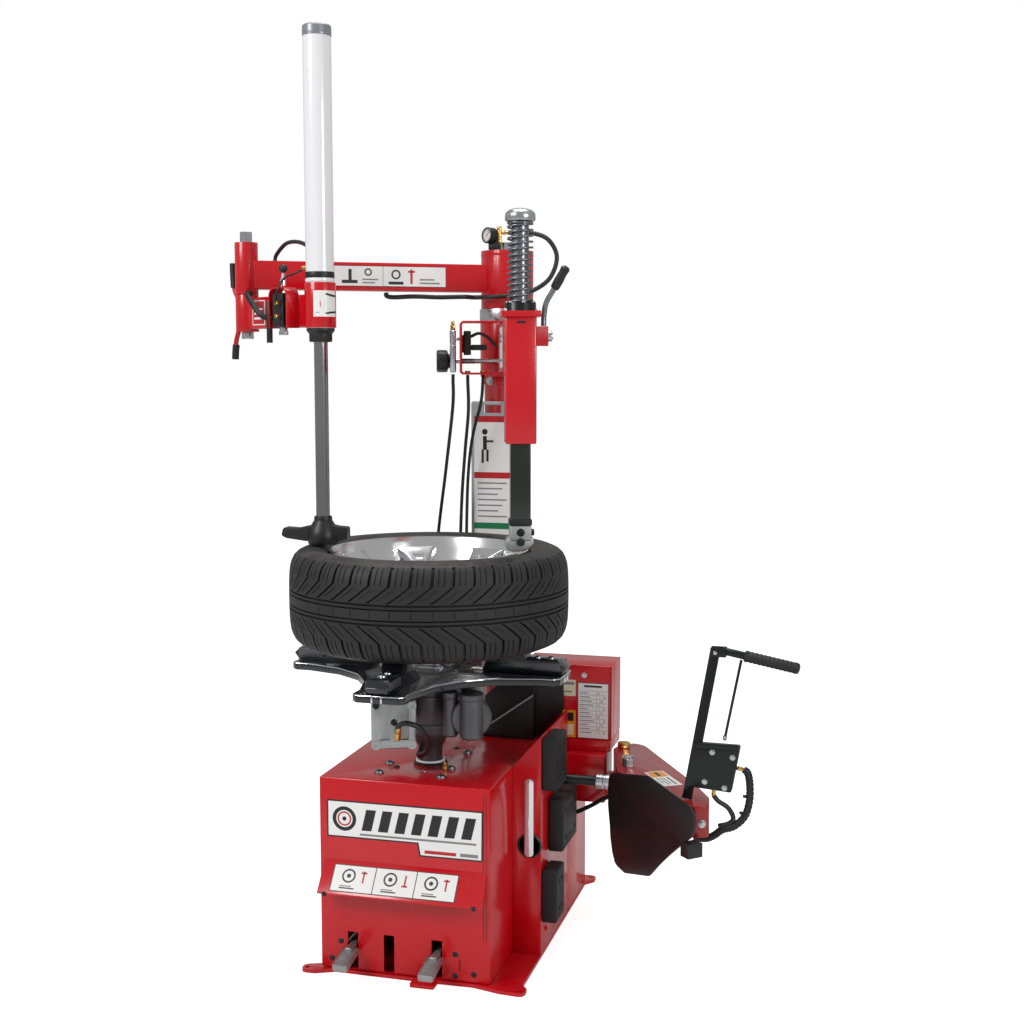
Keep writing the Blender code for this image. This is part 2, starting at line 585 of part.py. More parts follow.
def make_wheel():
    """Low-profile tyre on an alloy rim, lying flat on the jaws."""
    middle = (TYRE_LOW + TYRE_HIGH) / 2
    half = (TYRE_HIGH - TYRE_LOW) / 2
    outer = [(RIM_R + 0.0045, half - 0.014), (0.255, half - 0.003), (0.275, half), (0.298, half - 0.004),
             (0.316, half - 0.015), (0.326, half - 0.034), (TYRE_R, half - 0.058)]
    inner = [(RIM_R + 0.0045, half - 0.022), (0.258, half - 0.014), (0.290, half - 0.015), (0.312, half - 0.036)]
    profile = outer + [(r, -z) for r, z in reversed(outer)] + [(r, -z) for r, z in inner]
    profile += [(r, z) for r, z in reversed(inner)]
    tyre = turned("tyre", TYRE, profile, (0, 0, middle), sides=WHEEL)
    rim_half = half - 0.006
    rim = turned("rim", ALLOY, [
        (RIM_R, rim_half), (RIM_R + 0.002, rim_half - 0.006), (RIM_R - 0.004, rim_half - 0.012), (0.222, rim_half - 0.022),
        (0.2165, rim_half - 0.045), (0.2160, -rim_half + 0.045), (0.222, -rim_half + 0.022), (RIM_R - 0.004, -rim_half + 0.012),
        (RIM_R + 0.002, -rim_half + 0.006), (RIM_R, -rim_half), (0.228, -rim_half), (0.215, -rim_half + 0.022),
        (0.2085, -rim_half + 0.05), (0.2085, rim_half - 0.05), (0.215, rim_half - 0.022), (0.228, rim_half)],
        (0, 0, middle), sides=WHEEL)
    disc_z = 0.900
    spokes = []
    for number in range(5):
        facing = radians(20) + number * 2 * pi / 5
        spokes.append(box("rim_spoke", ALLOY, (0.040, -0.022, disc_z - 0.014), (0.214, 0.022, disc_z + 0.010), (0, 0, 0),
                          (0, 0, facing)))
    centre = rod("rim_centre", ALLOY, (0, 0, disc_z - 0.030), (0, 0, disc_z + 0.014), 0.075, ROUND)
    bore = rod("rim_bore", ALLOY, (0, 0, disc_z - 0.05), (0, 0, disc_z + 0.05), 0.030, ROUND)
    unite(rim, centre, *spokes)
    cut(rim, bore)
    return tyre, rim


# ---------------------------------------------------------------- swing arm and mount head
SWING_TURN = turn_between(COLUMN, HEAD)            # local +X runs from the column to the slide bar
SWING_REACH = hypot(HEAD.x - COLUMN.x, HEAD.y - COLUMN.y)


def make_swing_arm():
    """Hub, arm and square housing in one weldment, in the arm's own axes from the column."""
    hub = rod("swing_arm", RED, (0, 0, 1.3850), (0, 0, 1.5240), 0.0705, ROUND)
    hub.location = COLUMN + Vector((0, 0, (1.3850 + 1.5240) / 2))
    place = (COLUMN.x, COLUMN.y, 0)
    turn = (0, 0, SWING_TURN)
    reach = SWING_REACH
    half = HOUSING_W / 2
    arm = box("arm_box", RED, (0.040, -0.0275, ARM_Z[0]), (reach - half + 0.01, 0.0275, ARM_Z[1]), place, turn)
    housing = box("arm_housing", RED, (reach - half, -half, HOUSING_Z[0]), (reach + half, half, HOUSING_Z[1]), place, turn,
                  bevel=0.004)
    lid = box("housing_lid", RED, (reach - 0.044, -0.044, HOUSING_Z[1] - 0.002), (reach + 0.044, 0.044, 1.5360), place, turn)
    seat = rod("spring_seat", STEEL, HEAD + Vector((0, 0, 1.534)), HEAD + Vector((0, 0, SPRING_Z[0])), 0.036, ROUND)
    boss = box("lever_boss", RED, (reach - 0.012, half - 0.004, 1.458), (reach + 0.012, half + 0.028, 1.502), place, turn)
    bore = rod("hub_bore", RED, (0, 0, 1.37), (0, 0, 1.54), COLUMN_R + 0.0010, ROUND)
    bore.location = COLUMN + Vector((0, 0, 1.455))
    room = box("housing_room", RED, (reach - 0.0245, -0.0245, HOUSING_Z[0] - 0.02), (reach + 0.0245, 0.0245, 1.5180),
               place, turn)
    shaft_hole = rod("seat_bore", RED, HEAD + Vector((0, 0, 1.50)), HEAD + Vector((0, 0, 1.57)), 0.0205, ROUND)
    unite(hub, arm, housing, lid, seat, boss)
    return cut(hub, bore, room, shaft_hole)


def make_valve_bracket():
    """Strap bent round the arm's left side; it guards the lock valve."""
    place = (COLUMN.x, COLUMN.y, 0)
    turn = (0, 0, SWING_TURN)
    low, high = ARM_Z[0] - GAP, ARM_Z[1] + GAP
    outline = [(0.020, low), (0.020, low - SHEET), (-0.128, low - SHEET), (-0.128, high + SHEET), (0.020, high + SHEET),
               (0.020, high), (-0.125, high), (-0.125, low)]
    middle = 0.155
    strap = plate("valve_bracket", RED, outline, 0.070, (COLUMN.x + middle * cos(SWING_TURN),
                  COLUMN.y + middle * sin(SWING_TURN), 0), (pi / 2, 0, SWING_TURN - pi / 2 + pi))
    hole = rod("knob_hole", RED, swing_point(0.150, 0.100, 1.425), swing_point(0.150, 0.150, 1.425), 0.0075)
    valve = box("bracket_valve", BLACK, (0.135, -0.118, 1.440), (0.170, -0.100, 1.500), place, turn)
    pad = box("valve_foot", BLACK, (0.140, -0.127, 1.446), (0.165, -0.110, 1.490), place, turn)
    cut(strap, hole)
    return unite(strap, valve, pad)


def swing_point(along, left, height):
    """A point given along the swing arm from the column, and to the arm's left."""
    forward = Vector((cos(SWING_TURN), sin(SWING_TURN), 0))
    leftward = Vector((forward.y, -forward.x, 0))
    return COLUMN + forward * along + leftward * left + Vector((0, 0, height))


def make_lock_parts():
    cylinder = rod("lock_valve", ZINC, swing_point(0.178, 0.1455, 1.3965), swing_point(0.178, 0.1455, 1.505), 0.0080)
    top = rod("lock_valve_top", BRASS, swing_point(0.178, 0.1455, 1.500), swing_point(0.178, 0.1455, 1.524), 0.0065, 6)
    mount = rod("lock_valve_mount", ZINC, swing_point(0.178, 0.1290, 1.480), swing_point(0.178, 0.1455, 1.480), 0.0045)
    unite(cylinder, top, mount)
    knob = rod("lock_knob", BLACK, swing_point(0.150, 0.158, 1.425), swing_point(0.150, 0.186, 1.425), 0.029, 8)
    pin = rod("lock_pin", ZINC, swing_point(0.150, 0.0285, 1.425), swing_point(0.150, 0.165, 1.425), 0.0062)
    unite(knob, pin)
    rig("lock_knob_body", swing_point(0.150, 0.165, 1.425), knob)
    return cylinder, knob


def make_slide():
    """Square bar that runs in the housing, with the round shaft, its spring and cap, and the mount head."""
    turn = (0, 0, SWING_TURN)
    half = BAR_W / 2
    bar = box("slide_bar", STEEL, (-half, -half, HEAD_HIGH + GAP), (half, half, 1.262), HEAD, turn, bevel=0.002)
    collar = box("bar_collar", STEEL, (-half - 0.003, -half - 0.003, HEAD_HIGH + GAP), (half + 0.003, half + 0.003, 1.066),
                 HEAD, turn)
    shaft = rod("slide_shaft", STEEL, HEAD + Vector((0, 0, 1.250)), HEAD + Vector((0, 0, SPRING_Z[1])), 0.0195, ROUND)
    unite(bar, collar, shaft)
    cap = turned("spring_cap", ZINC, [(0.000, 0.030), (0.012, 0.030), (0.026, 0.026), (0.034, 0.019), (0.0345, 0.004),
                                      (0.031, 0.0005), (0.000, 0.0005)], HEAD + Vector((0, 0, SPRING_Z[1])))
    coil_r, wire_r, turns, per_turn = 0.0275, 0.0026, 15, 10
    low, high = SPRING_Z[0] + wire_r + GAP, SPRING_Z[1] - wire_r - GAP
    steps = turns * per_turn
    helix = [polar(coil_r, 2 * pi * step / per_turn, low + (high - low) * step / steps, HEAD) for step in range(steps + 1)]
    spring = tube("return_spring", ZINC, helix, wire_r, 1)
    head = make_mount_head(turn)
    rig("slide_body", (HEAD.x, HEAD.y, 0), bar, cap, spring, head)
    return bar, cap, spring, head


def make_mount_head(turn):
    """Duck-bill head: a clamp block over a bill that reaches in over the rim flange."""
    top = HEAD_HIGH - HEAD_LOW
    block = box("mount_head", CHROME, (-0.024, -0.025, 0.026), (0.024, 0.025, top), HEAD + Vector((0, 0, HEAD_LOW)), turn,
                bevel=0.003)
    bill = rounded([(-0.020, 0.0), (0.010, 0.0), (0.030, 0.012), (0.030, 0.030), (-0.030, 0.030), (-0.036, 0.008)],
                   [0.004, 0.008, 0.006, 0.0, 0.0, 0.004], 2)
    toe = plate("head_bill", CHROME, bill, 0.044, HEAD + Vector((0, 0, HEAD_LOW)), (pi / 2, 0, SWING_TURN - pi / 2 + pi))
    return unite(block, toe)


def make_lock_lever():
    """Clamp lever at the housing's right side: screw, bent rod and grip."""
    side = HOUSING_W / 2 + 0.018
    foot = swing_point(SWING_REACH, -side, 0)
    lever = tube("lock_lever", ZINC, smooth_route([foot + Vector((0, 0, 1.5030)), foot + Vector((0.001, 0, 1.530)),
                 foot + Vector((0.007, -0.002, 1.556)), foot + Vector((0.024, -0.006, 1.583)),
                 foot + Vector((0.032, -0.008, 1.596))], 10), 0.0062)
    grip = rod("lever_grip", BLACK, foot + Vector((0.026, -0.0065, 1.586)), foot + Vector((0.056, -0.014, 1.634)), 0.0108)
    unite(lever, grip)
    rig("lock_lever_body", foot + Vector((0, 0, 1.48)), lever)
    return lever


# ---------------------------------------------------------------- press arm
BEAM_TURN = turn_between(COLUMN, POST)
BEAM_REACH = hypot(POST.x - COLUMN.x, POST.y - COLUMN.y)
LINK_TURN = turn_between(POST, PRESS)
LINK_REACH = hypot(PRESS.x - POST.x, PRESS.y - POST.y)


def at_post(height):
    return Vector((POST.x, POST.y, height))


def make_upper_arm():
    """Hub on the column, box beam, and the sleeve with the hinge bolt at the far end."""
    hub = rod("upper_arm", RED, COLUMN + Vector((0, 0, COLLAR_Z[1] + GAP)), COLUMN + Vector((0, 0, 1.7085)), 0.068, ROUND)
    place = (COLUMN.x, COLUMN.y, 0)
    beam = box("arm_beam", RED, (0.040, -0.025, BEAM_Z[0]), (BEAM_REACH - 0.015, 0.025, BEAM_Z[1]), place,
               (0, 0, BEAM_TURN), bevel=0.003)
    sleeve = rod("post_sleeve", RED, at_post(1.5885), at_post(1.7160), 0.0285, ROUND)
    bolt = rod("post_bolt", ZINC, at_post(1.486), at_post(1.60), 0.0125, SMALL)
    head = rod("post_bolt_head", ZINC, at_post(1.4800), at_post(1.4965), 0.0150, 6)
    nut = rod("post_nut", ZINC, at_post(1.715), at_post(1.742), 0.0150, 6)
    bore = rod("arm_bore", RED, COLUMN + Vector((0, 0, 1.54)), COLUMN + Vector((0, 0, 1.72)), PIN_R + 0.0010, ROUND)
    unite(hub, beam, sleeve, bolt, head, nut)
    return cut(hub, bore)


def make_gauge():
    """Air regulator with a dial gauge and brass fittings, on top of the press arm's hub."""
    foot = COLUMN + Vector((-0.020, -0.053, 0))
    body = box("pressure_gauge", BLACK, (-0.014, -0.008, 1.7090), (0.016, 0.008, 1.7270), foot)
    dial_centre = foot + Vector((-0.010, -0.004, 1.745))
    facing = Vector((-0.55, -0.83, 0.05)).normalized()
    dial = rod("gauge_case", BLACK, dial_centre + facing * 0.012, dial_centre - facing * 0.014, 0.0205, ROUND)
    manifold = rod("gauge_manifold", BRASS, foot + Vector((0.0136, 0.0006, 1.7215)), foot + Vector((0.0136, 0.0006, 1.768)), 0.0066, 8)
    outlet = rod("gauge_outlet", BRASS, foot + Vector((0.010, 0, 1.752)), foot + Vector((0.044, 0.004, 1.752)), 0.0050, 6)
    neck = box("gauge_neck", BLACK, (-0.012, -0.007, 1.720), (0.012, 0.007, 1.748), foot)
    return unite(body, neck, dial, manifold, outlet)


def make_arm_hose():
    """Air hose from the regulator, in a free loop at the right, then under the beam and up into it."""
    forward = Vector((cos(BEAM_TURN), sin(BEAM_TURN), 0))
    side = Vector((-forward.y, forward.x, 0))
    under = [COLUMN + forward * along + side * across + Vector((0, 0, height))
             for along, across, height in ((0.130, 0.055, 1.588), (0.190, 0.036, 1.587), (0.250, 0.018, 1.589),
                                           (0.300, 0.004, 1.587), (0.318, 0.0, 1.590), (0.320, 0.0, BEAM_Z[0] - 0.003))]
    start = COLUMN + Vector((-0.020 + 0.0480, -0.053 + 0.0045, 1.752))
    stops = [start, (0.140, 0.3965, 1.752), (0.190, 0.392, 1.735), (0.216, 0.390, 1.690), (0.200, 0.384, 1.636),
             (0.160, 0.368, 1.604), (0.115, 0.353, 1.592), (0.060, 0.346, 1.588), (0.005, 0.366, 1.588)]
    return tube("arm_hose", RUBBER, smooth_route(stops + under, 40), 0.0058)


def link_point(along, front, height):
    """A point along the link arm from the hinge post, and before its front side."""
    forward = Vector((cos(LINK_TURN), sin(LINK_TURN), 0))
    frontward = Vector((forward.y, -forward.x, 0))
    return POST + forward * along + frontward * front + Vector((0, 0, height))


def make_link_arm():
    """Sleeve on the hinge bolt, short box arm, clamp sleeve for the press cylinder, guard and handles."""
    sleeve = rod("link_arm", RED, at_post(1.4975), at_post(1.5875), 0.0285, ROUND)
    turn = (0, 0, LINK_TURN)
    place = (POST.x, POST.y, 0)
    beam = box("link_beam", RED, (0.018, -0.020, 1.504), (LINK_REACH - 0.020, 0.020, 1.580), place, turn, bevel=0.003)
    clamp = rod("press_clamp", RED, PRESS + Vector((0, 0, CLAMP_Z[0])), PRESS + Vector((0, 0, CLAMP_Z[1])), 0.0368, ROUND)
    guard = rounded([(-0.036, 1.502), (-0.036, 1.5975), (0.036, 1.5975), (0.036, 1.502), (0.033, 1.502), (0.033, 1.5945),
                     (-0.033, 1.5945), (-0.033, 1.502)], [0, 0.020, 0.020, 0, 0, 0.017, 0.017, 0], 4)
    middle = link_point(VALVE_ALONG, 0.037, 0)
    strap = plate("valve_guard", RED, guard, 0.036, (middle.x, middle.y, 0), (pi / 2, 0, LINK_TURN))
    grip = rod("front_grip", BLACK, link_point(VALVE_ALONG - 0.040, 0.050, 1.468), link_point(VALVE_ALONG - 0.040, 0.050, 1.566), 0.0072)
    handle = side_handle()
    bolt_bore = rod("bolt_bore", RED, at_post(1.48), at_post(1.61), 0.0140, SMALL)
    clamp_bore = rod("clamp_bore", RED, PRESS + Vector((0, 0, 1.48)), PRESS + Vector((0, 0, 1.62)), 0.0336, ROUND)
    unite(sleeve, beam, clamp, strap, grip, handle)
    return cut(sleeve, bolt_bore, clamp_bore)


def side_handle():
    """Bow handle at the left of the hinge sleeve, with a grip above and one below."""
    out = 0.052
    stops = [link_point(-out, 0.004, 1.668), link_point(-out + 0.001, 0.004, 1.640), link_point(-out + 0.003, 0.004, 1.606),
             link_point(-out + 0.016, 0.002, 1.580), link_point(-0.026, 0.0, 1.548), link_point(-0.026, 0.0, 1.520),
             link_point(-out + 0.014, 0.002, 1.496), link_point(-out + 0.006, 0.004, 1.470),
             link_point(-out + 0.002, 0.004, 1.432)]
    return tube("bow_handle", RED, smooth_route(stops, 22), 0.0062)


def make_control_valve():
    """Black valve block inside the guard, with two brass fittings."""
    place = (POST.x, POST.y, 0)
    turn = (0, 0, LINK_TURN)
    block = box("control_valve", BLACK, (VALVE_ALONG - 0.021, -0.055, 1.5045), (VALVE_ALONG + 0.021, -0.0205, 1.5840), place, turn, bevel=0.002)
    fittings = [rod("valve_fitting", BRASS, link_point(VALVE_ALONG + 0.008, 0.050, height), link_point(VALVE_ALONG + 0.008, 0.067, height), 0.0052, 6)
                for height in (1.5300, 1.5600)]
    tail = rod("valve_tail", ZINC, link_point(VALVE_ALONG, 0.038, 1.486), link_point(VALVE_ALONG, 0.038, 1.508), 0.0115, 8)
    return unite(block, *fittings, tail)


def make_valve_lever():
    stem = rod("valve_lever", CHROME, link_point(VALVE_ALONG, 0.038, 1.6015), link_point(VALVE_ALONG, 0.038, 1.6190), 0.0070, 12)
    neck = rod("valve_neck", CHROME, link_point(VALVE_ALONG, 0.038, 1.615), link_point(VALVE_ALONG + 0.008, 0.042, 1.636), 0.0045, 12)
    ball = turned("valve_ball", BLACK, [(0.0, 0.0105)] + [(0.0105 * sin(pi * k / 8), 0.0105 * cos(pi * k / 8))
                  for k in range(1, 8)] + [(0.0, -0.0105)], link_point(VALVE_ALONG + 0.009, 0.043, 1.641), sides=16)
    unite(stem, neck, ball)
    rig("valve_lever_body", link_point(VALVE_ALONG, 0.038, 1.600), stem)
    return stem


def make_press():
    """Long press cylinder with its cap; the rod carries the foot that pushes the sidewall."""
    base = Vector((PRESS.x, PRESS.y, 0))
    cylinder = turned("press_cylinder", WHITE, [
        (0.0328, PRESS_TOP), (0.0328, 1.5010), (0.0270, 1.5010), (0.0270, 1.4690), (0.0170, 1.4690), (0.0170, 1.5120),
        (0.0292, 1.5120), (0.0292, PRESS_TOP)], base)
    cap = turned("press_cap", GREY, [(0.000, 0.026), (0.030, 0.026), (0.0335, 0.022), (0.0335, GAP), (0.0286, GAP),
                                     (0.0286, -0.020), (0.000, -0.020)], base + Vector((0, 0, PRESS_TOP)))
    stick = turned("press_rod", CHROME, [(0.000, 1.560), (0.0286, 1.560), (0.0286, 1.520), (0.0163, 1.520),
                                         (0.0163, FOOT_Z[1] + GAP), (0.000, FOOT_Z[1] + GAP)], base)
    return cylinder, cap, stick


def make_press_foot():
    """Cone and cross-arm of black plastic: a tapered horn to the left and a block to the right."""
    base = Vector((PRESS.x, PRESS.y, 0))
    cone = turned("press_foot", BLACK, [(0.000, FOOT_Z[1]), (0.017, FOOT_Z[1]), (0.020, 1.052), (0.034, 1.030),
                                        (0.038, 1.012), (0.036, FOOT_Z[0]), (0.000, FOOT_Z[0])], base)
    horn = rounded([(-0.100, 1.012), (-0.094, 1.032), (-0.060, 1.030), (0.0, 1.044), (0.036, 1.036), (0.062, 1.034),
                    (0.062, 1.006), (0.030, 1.000), (-0.040, 1.000), (-0.086, 1.006)],
                   [0.006, 0.006, 0.02, 0, 0, 0.004, 0.004, 0, 0, 0.004], 2)
    bar = plate("foot_bar", BLACK, horn, 0.030, base, (pi / 2, 0, radians(6)))
    unite(cone, bar)
    rig("press_foot_body", (PRESS.x, PRESS.y, 0), cone)
    return cone


# ---------------------------------------------------------------- hoses to the cabinet
def make_control_hoses():
    """Three air hoses from the lock valves down to the deck behind the turntable."""
    made = []
    routes = (
        ("control_hose_left", [swing_point(0.178, 0.1455, 1.3925), swing_point(0.178, 0.1455, 1.3780),
                               (-0.018, 0.248, 1.310), (-0.050, 0.290, 1.150), (-0.092, 0.345, 0.950),
                               (-0.108, 0.365, 0.750), (-0.100, 0.375, 0.560), (-0.098, 0.378, DECK + GAP)]),
        ("control_hose_middle", [swing_point(0.150, 0.108, ARM_Z[0] - 0.0045), swing_point(0.150, 0.108, 1.375),
                                 (0.012, 0.285, 1.300), (-0.008, 0.322, 1.200), (-0.024, 0.345, 1.080),
                                 (-0.032, 0.355, 0.950), (-0.036, 0.358, 0.750), (-0.036, 0.358, DECK + GAP)]),
        ("control_hose_right", [swing_point(0.150, 0.070, ARM_Z[0] - 0.0045), swing_point(0.150, 0.070, 1.375),
                                (0.042, 0.295, 1.320), (0.010, 0.330, 1.235), (-0.008, 0.350, 1.140),
                                (-0.015, 0.356, 1.000), (-0.017, 0.357, 0.800), (-0.017, 0.357, DECK + GAP)]))
    for name, stops in routes:
        made.append(tube(name, RUBBER, smooth_route(stops, 26), 0.0042))
    return made


# ---------------------------------------------------------------- bead loosener
def make_bead_arm():
    """Folded tapered arm, open below, with a round hole for the pivot pin and the trunnion bolt."""
    low, high = BEAD_Z
    outline = rounded([(0.388, 0.302), (0.398, 0.345), (0.432, 0.372), (0.462, 0.350), (0.632, 0.045), (0.676, -0.052),
                       (0.684, -0.112), (0.650, -0.128), (0.436, 0.104)],
                      [0.01, 0.02, 0.02, 0.02, 0.03, 0.02, 0.014, 0.014, 0.006], 2)
    arm = plate("bead_arm", RED, outline, high - low, (0, 0, (low + high) / 2))
    inside = [(0.402, 0.290), (0.450, 0.352), (0.622, 0.044), (0.662, -0.052), (0.662, -0.098), (0.648, -0.108),
              (0.446, 0.112)]
    room = plate("bead_room", RED, inside, high - low, (0, 0, (low + high) / 2 - 0.006))
    pivot = rod("bead_pivot_hole", RED, (BEAD_PIVOT.x, BEAD_PIVOT.y, low - 0.02), (BEAD_PIVOT.x, BEAD_PIVOT.y, high + 0.02),
                0.0135)
    bolt = rod("trunnion_bolt", ZINC, (0.452, 0.160, low + 0.006), (0.452, 0.160, high + 0.024), 0.0095)
    nut = rod("trunnion_nut", ZINC, (0.452, 0.160, high - 0.001), (0.452, 0.160, high + 0.018), 0.0155, 6)
    cut(arm, room, pivot)
    return unite(arm, bolt, nut)


BLADE_START = Vector((0.424, 0.100, 0.0))
BLADE_TURN = atan2(-0.733, 0.680)


def blade_point(along, front, height):
    forward = Vector((cos(BLADE_TURN), sin(BLADE_TURN), 0))
    frontward = Vector((forward.y, -forward.x, 0))
    return BLADE_START + forward * along + frontward * front + Vector((0, 0, height))


def make_bead_shovel():
    """Curved blade that pushes the tyre's bead off; it hangs before the arm on an upright hinge pin."""
    outline = rounded([(0.000, 0.444), (0.150, 0.474), (0.332, 0.452), (0.358, 0.430), (0.356, 0.394), (0.158, 0.238),
                       (0.024, 0.200), (-0.008, 0.212), (0.020, 0.324)],
                      [0.012, 0.030, 0.02, 0.02, 0.02, 0.03, 0.02, 0.012, 0.12], 3)
    cage = bmesh.new()
    corners = [cage.verts.new((x, 0.0, z)) for x, z in outline]
    cage.faces.new(corners)
    for height in (0.250, 0.290, 0.330, 0.370, 0.410):
        everything = cage.verts[:] + cage.edges[:] + cage.faces[:]
        bmesh.ops.bisect_plane(cage, geom=everything, plane_co=(0, 0, height), plane_no=(0, 0, 1), dist=1e-6)
    for corner in cage.verts:
        corner.co.y = 1.6 * (corner.co.z - 0.360) ** 2
    blade = add_object("bead_shovel", mesh_from(cage, "bead_shovel"), STEEL, blade_point(0, 0.016, 0), (0, 0, BLADE_TURN))
    wall = blade.modifiers.new("wall", "SOLIDIFY")
    wall.thickness = 0.006
    wall.offset = 0.0
    lug = box("shovel_lug", STEEL, (0.318, -0.004, 0.340), (0.348, 0.034, 0.371), blade_point(0, 0.016, 0), (0, 0, BLADE_TURN))
    unite(blade, lug)
    rig("bead_shovel_body", blade_point(0.333, 0.0, 0.36), blade)
    return blade


def make_bead_handle():
    """Flat upright bar on the arm with the plate box of the air valve."""
    lean = atan2(0.680 - 0.621, 0.790 - 0.447)
    bar = box("bead_handle", STEEL, (-0.010, -0.004, 0.003), (0.012, 0.004, 0.350), (0.628, HANDLE_Y, 0.4475), (0, lean, 0))
    corners = rounded([(0.633, 0.482), (0.729, 0.474), (0.747, 0.578), (0.642, 0.579)], 0.004, 2)
    panel = plate("valve_box", STEEL, corners, 0.028, (0, HANDLE_Y, 0), (pi / 2, 0, 0))
    elbow = rod("valve_elbow", BRASS, (0.735, HANDLE_Y, 0.528), (0.752, HANDLE_Y, 0.526), 0.0050, 6)
    return unite(bar, panel, elbow)


def make_grip():
    """Squeeze grip hinged at the top of the bar, and the thin rod that works the valve."""
    tube_part = rod("grip_lever", STEEL, (0.7045, HANDLE_Y, 0.7897), (0.760, HANDLE_Y, 0.7790), 0.0085, SMALL)
    sleeve = rod("grip_sleeve", RUBBER, (0.752, HANDLE_Y, 0.7805), (0.872, HANDLE_Y, 0.7575), 0.0125, ROUND // 2)
    unite(tube_part, sleeve)
    rig("grip_lever_body", (0.689, HANDLE_Y, 0.786), tube_part)
    stick = rod("trigger_rod", STEEL, (0.7452, HANDLE_Y, 0.7710), (0.7110, HANDLE_Y, 0.5885), 0.0032, 10)
    rig("trigger_rod_body", (0.7452, HANDLE_Y, 0.7710), stick)
    return tube_part, stick


def make_bead_hoses():
    loop = [(0.7605, -0.080, 0.5215), (0.7670, -0.079, 0.495), (0.768, -0.076, 0.455), (0.758, -0.074, 0.418),
            (0.734, -0.072, 0.392), (0.708, -0.072, 0.382), (0.692, -0.073, 0.3690), (0.676, -0.074, 0.3605),
            (0.660, -0.073, 0.3585), (0.646, -0.070, 0.3585)]
    coil = tube("valve_hose", RUBBER, smooth_route(loop, 30), 0.0070)
    feed = [(0.2712 + GAP, 0.250, 0.285), (0.300, 0.246, 0.290), (0.340, 0.236, 0.312), (0.372, 0.226, 0.334),
            (0.400, 0.218, 0.350), (0.430, 0.210, 0.360)]
    line = tube("bead_hose", RUBBER, smooth_route(feed, 18), 0.0055)
    return coil, line


def make_bead_rod():
    """Piston rod of the bead-loosener cylinder with its adjusting sleeve."""
    stick = rod("bead_rod", STEEL, (-0.030, ROD_Y, ROD_Z), (0.409, ROD_Y, ROD_Z), 0.0120, SMALL)
    sleeve = rod("rod_sleeve", ZINC, (0.374, ROD_Y, ROD_Z), (0.4125, ROD_Y, ROD_Z), 0.0185, ROUND // 2)
    unite(stick, sleeve)
    rig("bead_rod_body", (0, ROD_Y, ROD_Z), stick)
    return stick


# ---------------------------------------------------------------- assembly
def build():
    make_base()
    make_cabinet_shell()
    make_side_housing()
    make_rear_housing()
    make_front_visor()
    make_tower_cover()
    make_pads()
    make_drive()
    make_bead_cylinder()
    make_hinge_bracket()
    make_column()
    make_sign_plate()
    make_pedals()
    rig("tyre_lever_body", (0.2425, SIDE_FRONT, 0.345), make_tyre_lever())

    star, hub = make_turntable()
    left, right = make_clamp_cylinders()
    tyre, rim = make_wheel()
    make_jaws()
    rig("turntable_body", (0, 0, 0), star, hub, left, right, make_clamp_hose(), tyre, rim)

    valve, _ = make_lock_parts()
    rig("swing_arm_body", COLUMN, make_swing_arm(), make_valve_bracket(), valve)
    make_slide()
    make_lock_lever()

    rig("upper_arm_body", COLUMN, make_upper_arm(), make_gauge(), make_arm_hose())
    cylinder, cap, stick = make_press()
    rig("link_arm_body", POST, make_link_arm(), make_control_valve(), cylinder, cap)
    make_valve_lever()
    rig("press_rod_body", PRESS, stick)
    make_press_foot()

    make_control_hoses()
    coil, _ = make_bead_hoses()
    rig("bead_arm_body", BEAD_PIVOT, make_bead_arm(), make_bead_handle(), coil)
    make_bead_shovel()
    make_grip()
    make_bead_rod()


build()
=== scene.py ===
"""Tyre changer machine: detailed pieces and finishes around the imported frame.

Metres, +Z up; the origin is on the floor under the turntable's axis and the front faces -Y.
"""
import bpy
from math import atan2, cos, hypot, pi, radians, sin
from mathutils import Matrix, Vector


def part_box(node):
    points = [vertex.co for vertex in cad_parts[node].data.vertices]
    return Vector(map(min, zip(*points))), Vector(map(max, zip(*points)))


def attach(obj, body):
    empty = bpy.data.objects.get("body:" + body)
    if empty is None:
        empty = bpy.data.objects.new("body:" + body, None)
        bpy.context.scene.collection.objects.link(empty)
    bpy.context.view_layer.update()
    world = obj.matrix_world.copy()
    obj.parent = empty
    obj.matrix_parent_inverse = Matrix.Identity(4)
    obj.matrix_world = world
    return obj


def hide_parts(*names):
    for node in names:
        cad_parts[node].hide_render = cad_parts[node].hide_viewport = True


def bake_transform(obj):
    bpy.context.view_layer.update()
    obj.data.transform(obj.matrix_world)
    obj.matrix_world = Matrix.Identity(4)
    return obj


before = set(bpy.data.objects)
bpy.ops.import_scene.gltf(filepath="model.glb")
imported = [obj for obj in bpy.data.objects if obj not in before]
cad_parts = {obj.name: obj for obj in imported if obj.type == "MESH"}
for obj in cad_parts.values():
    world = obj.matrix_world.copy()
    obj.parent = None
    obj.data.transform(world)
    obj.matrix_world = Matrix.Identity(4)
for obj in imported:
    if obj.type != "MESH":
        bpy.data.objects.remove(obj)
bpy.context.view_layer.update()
bpy.ops.object.select_all(action="DESELECT")

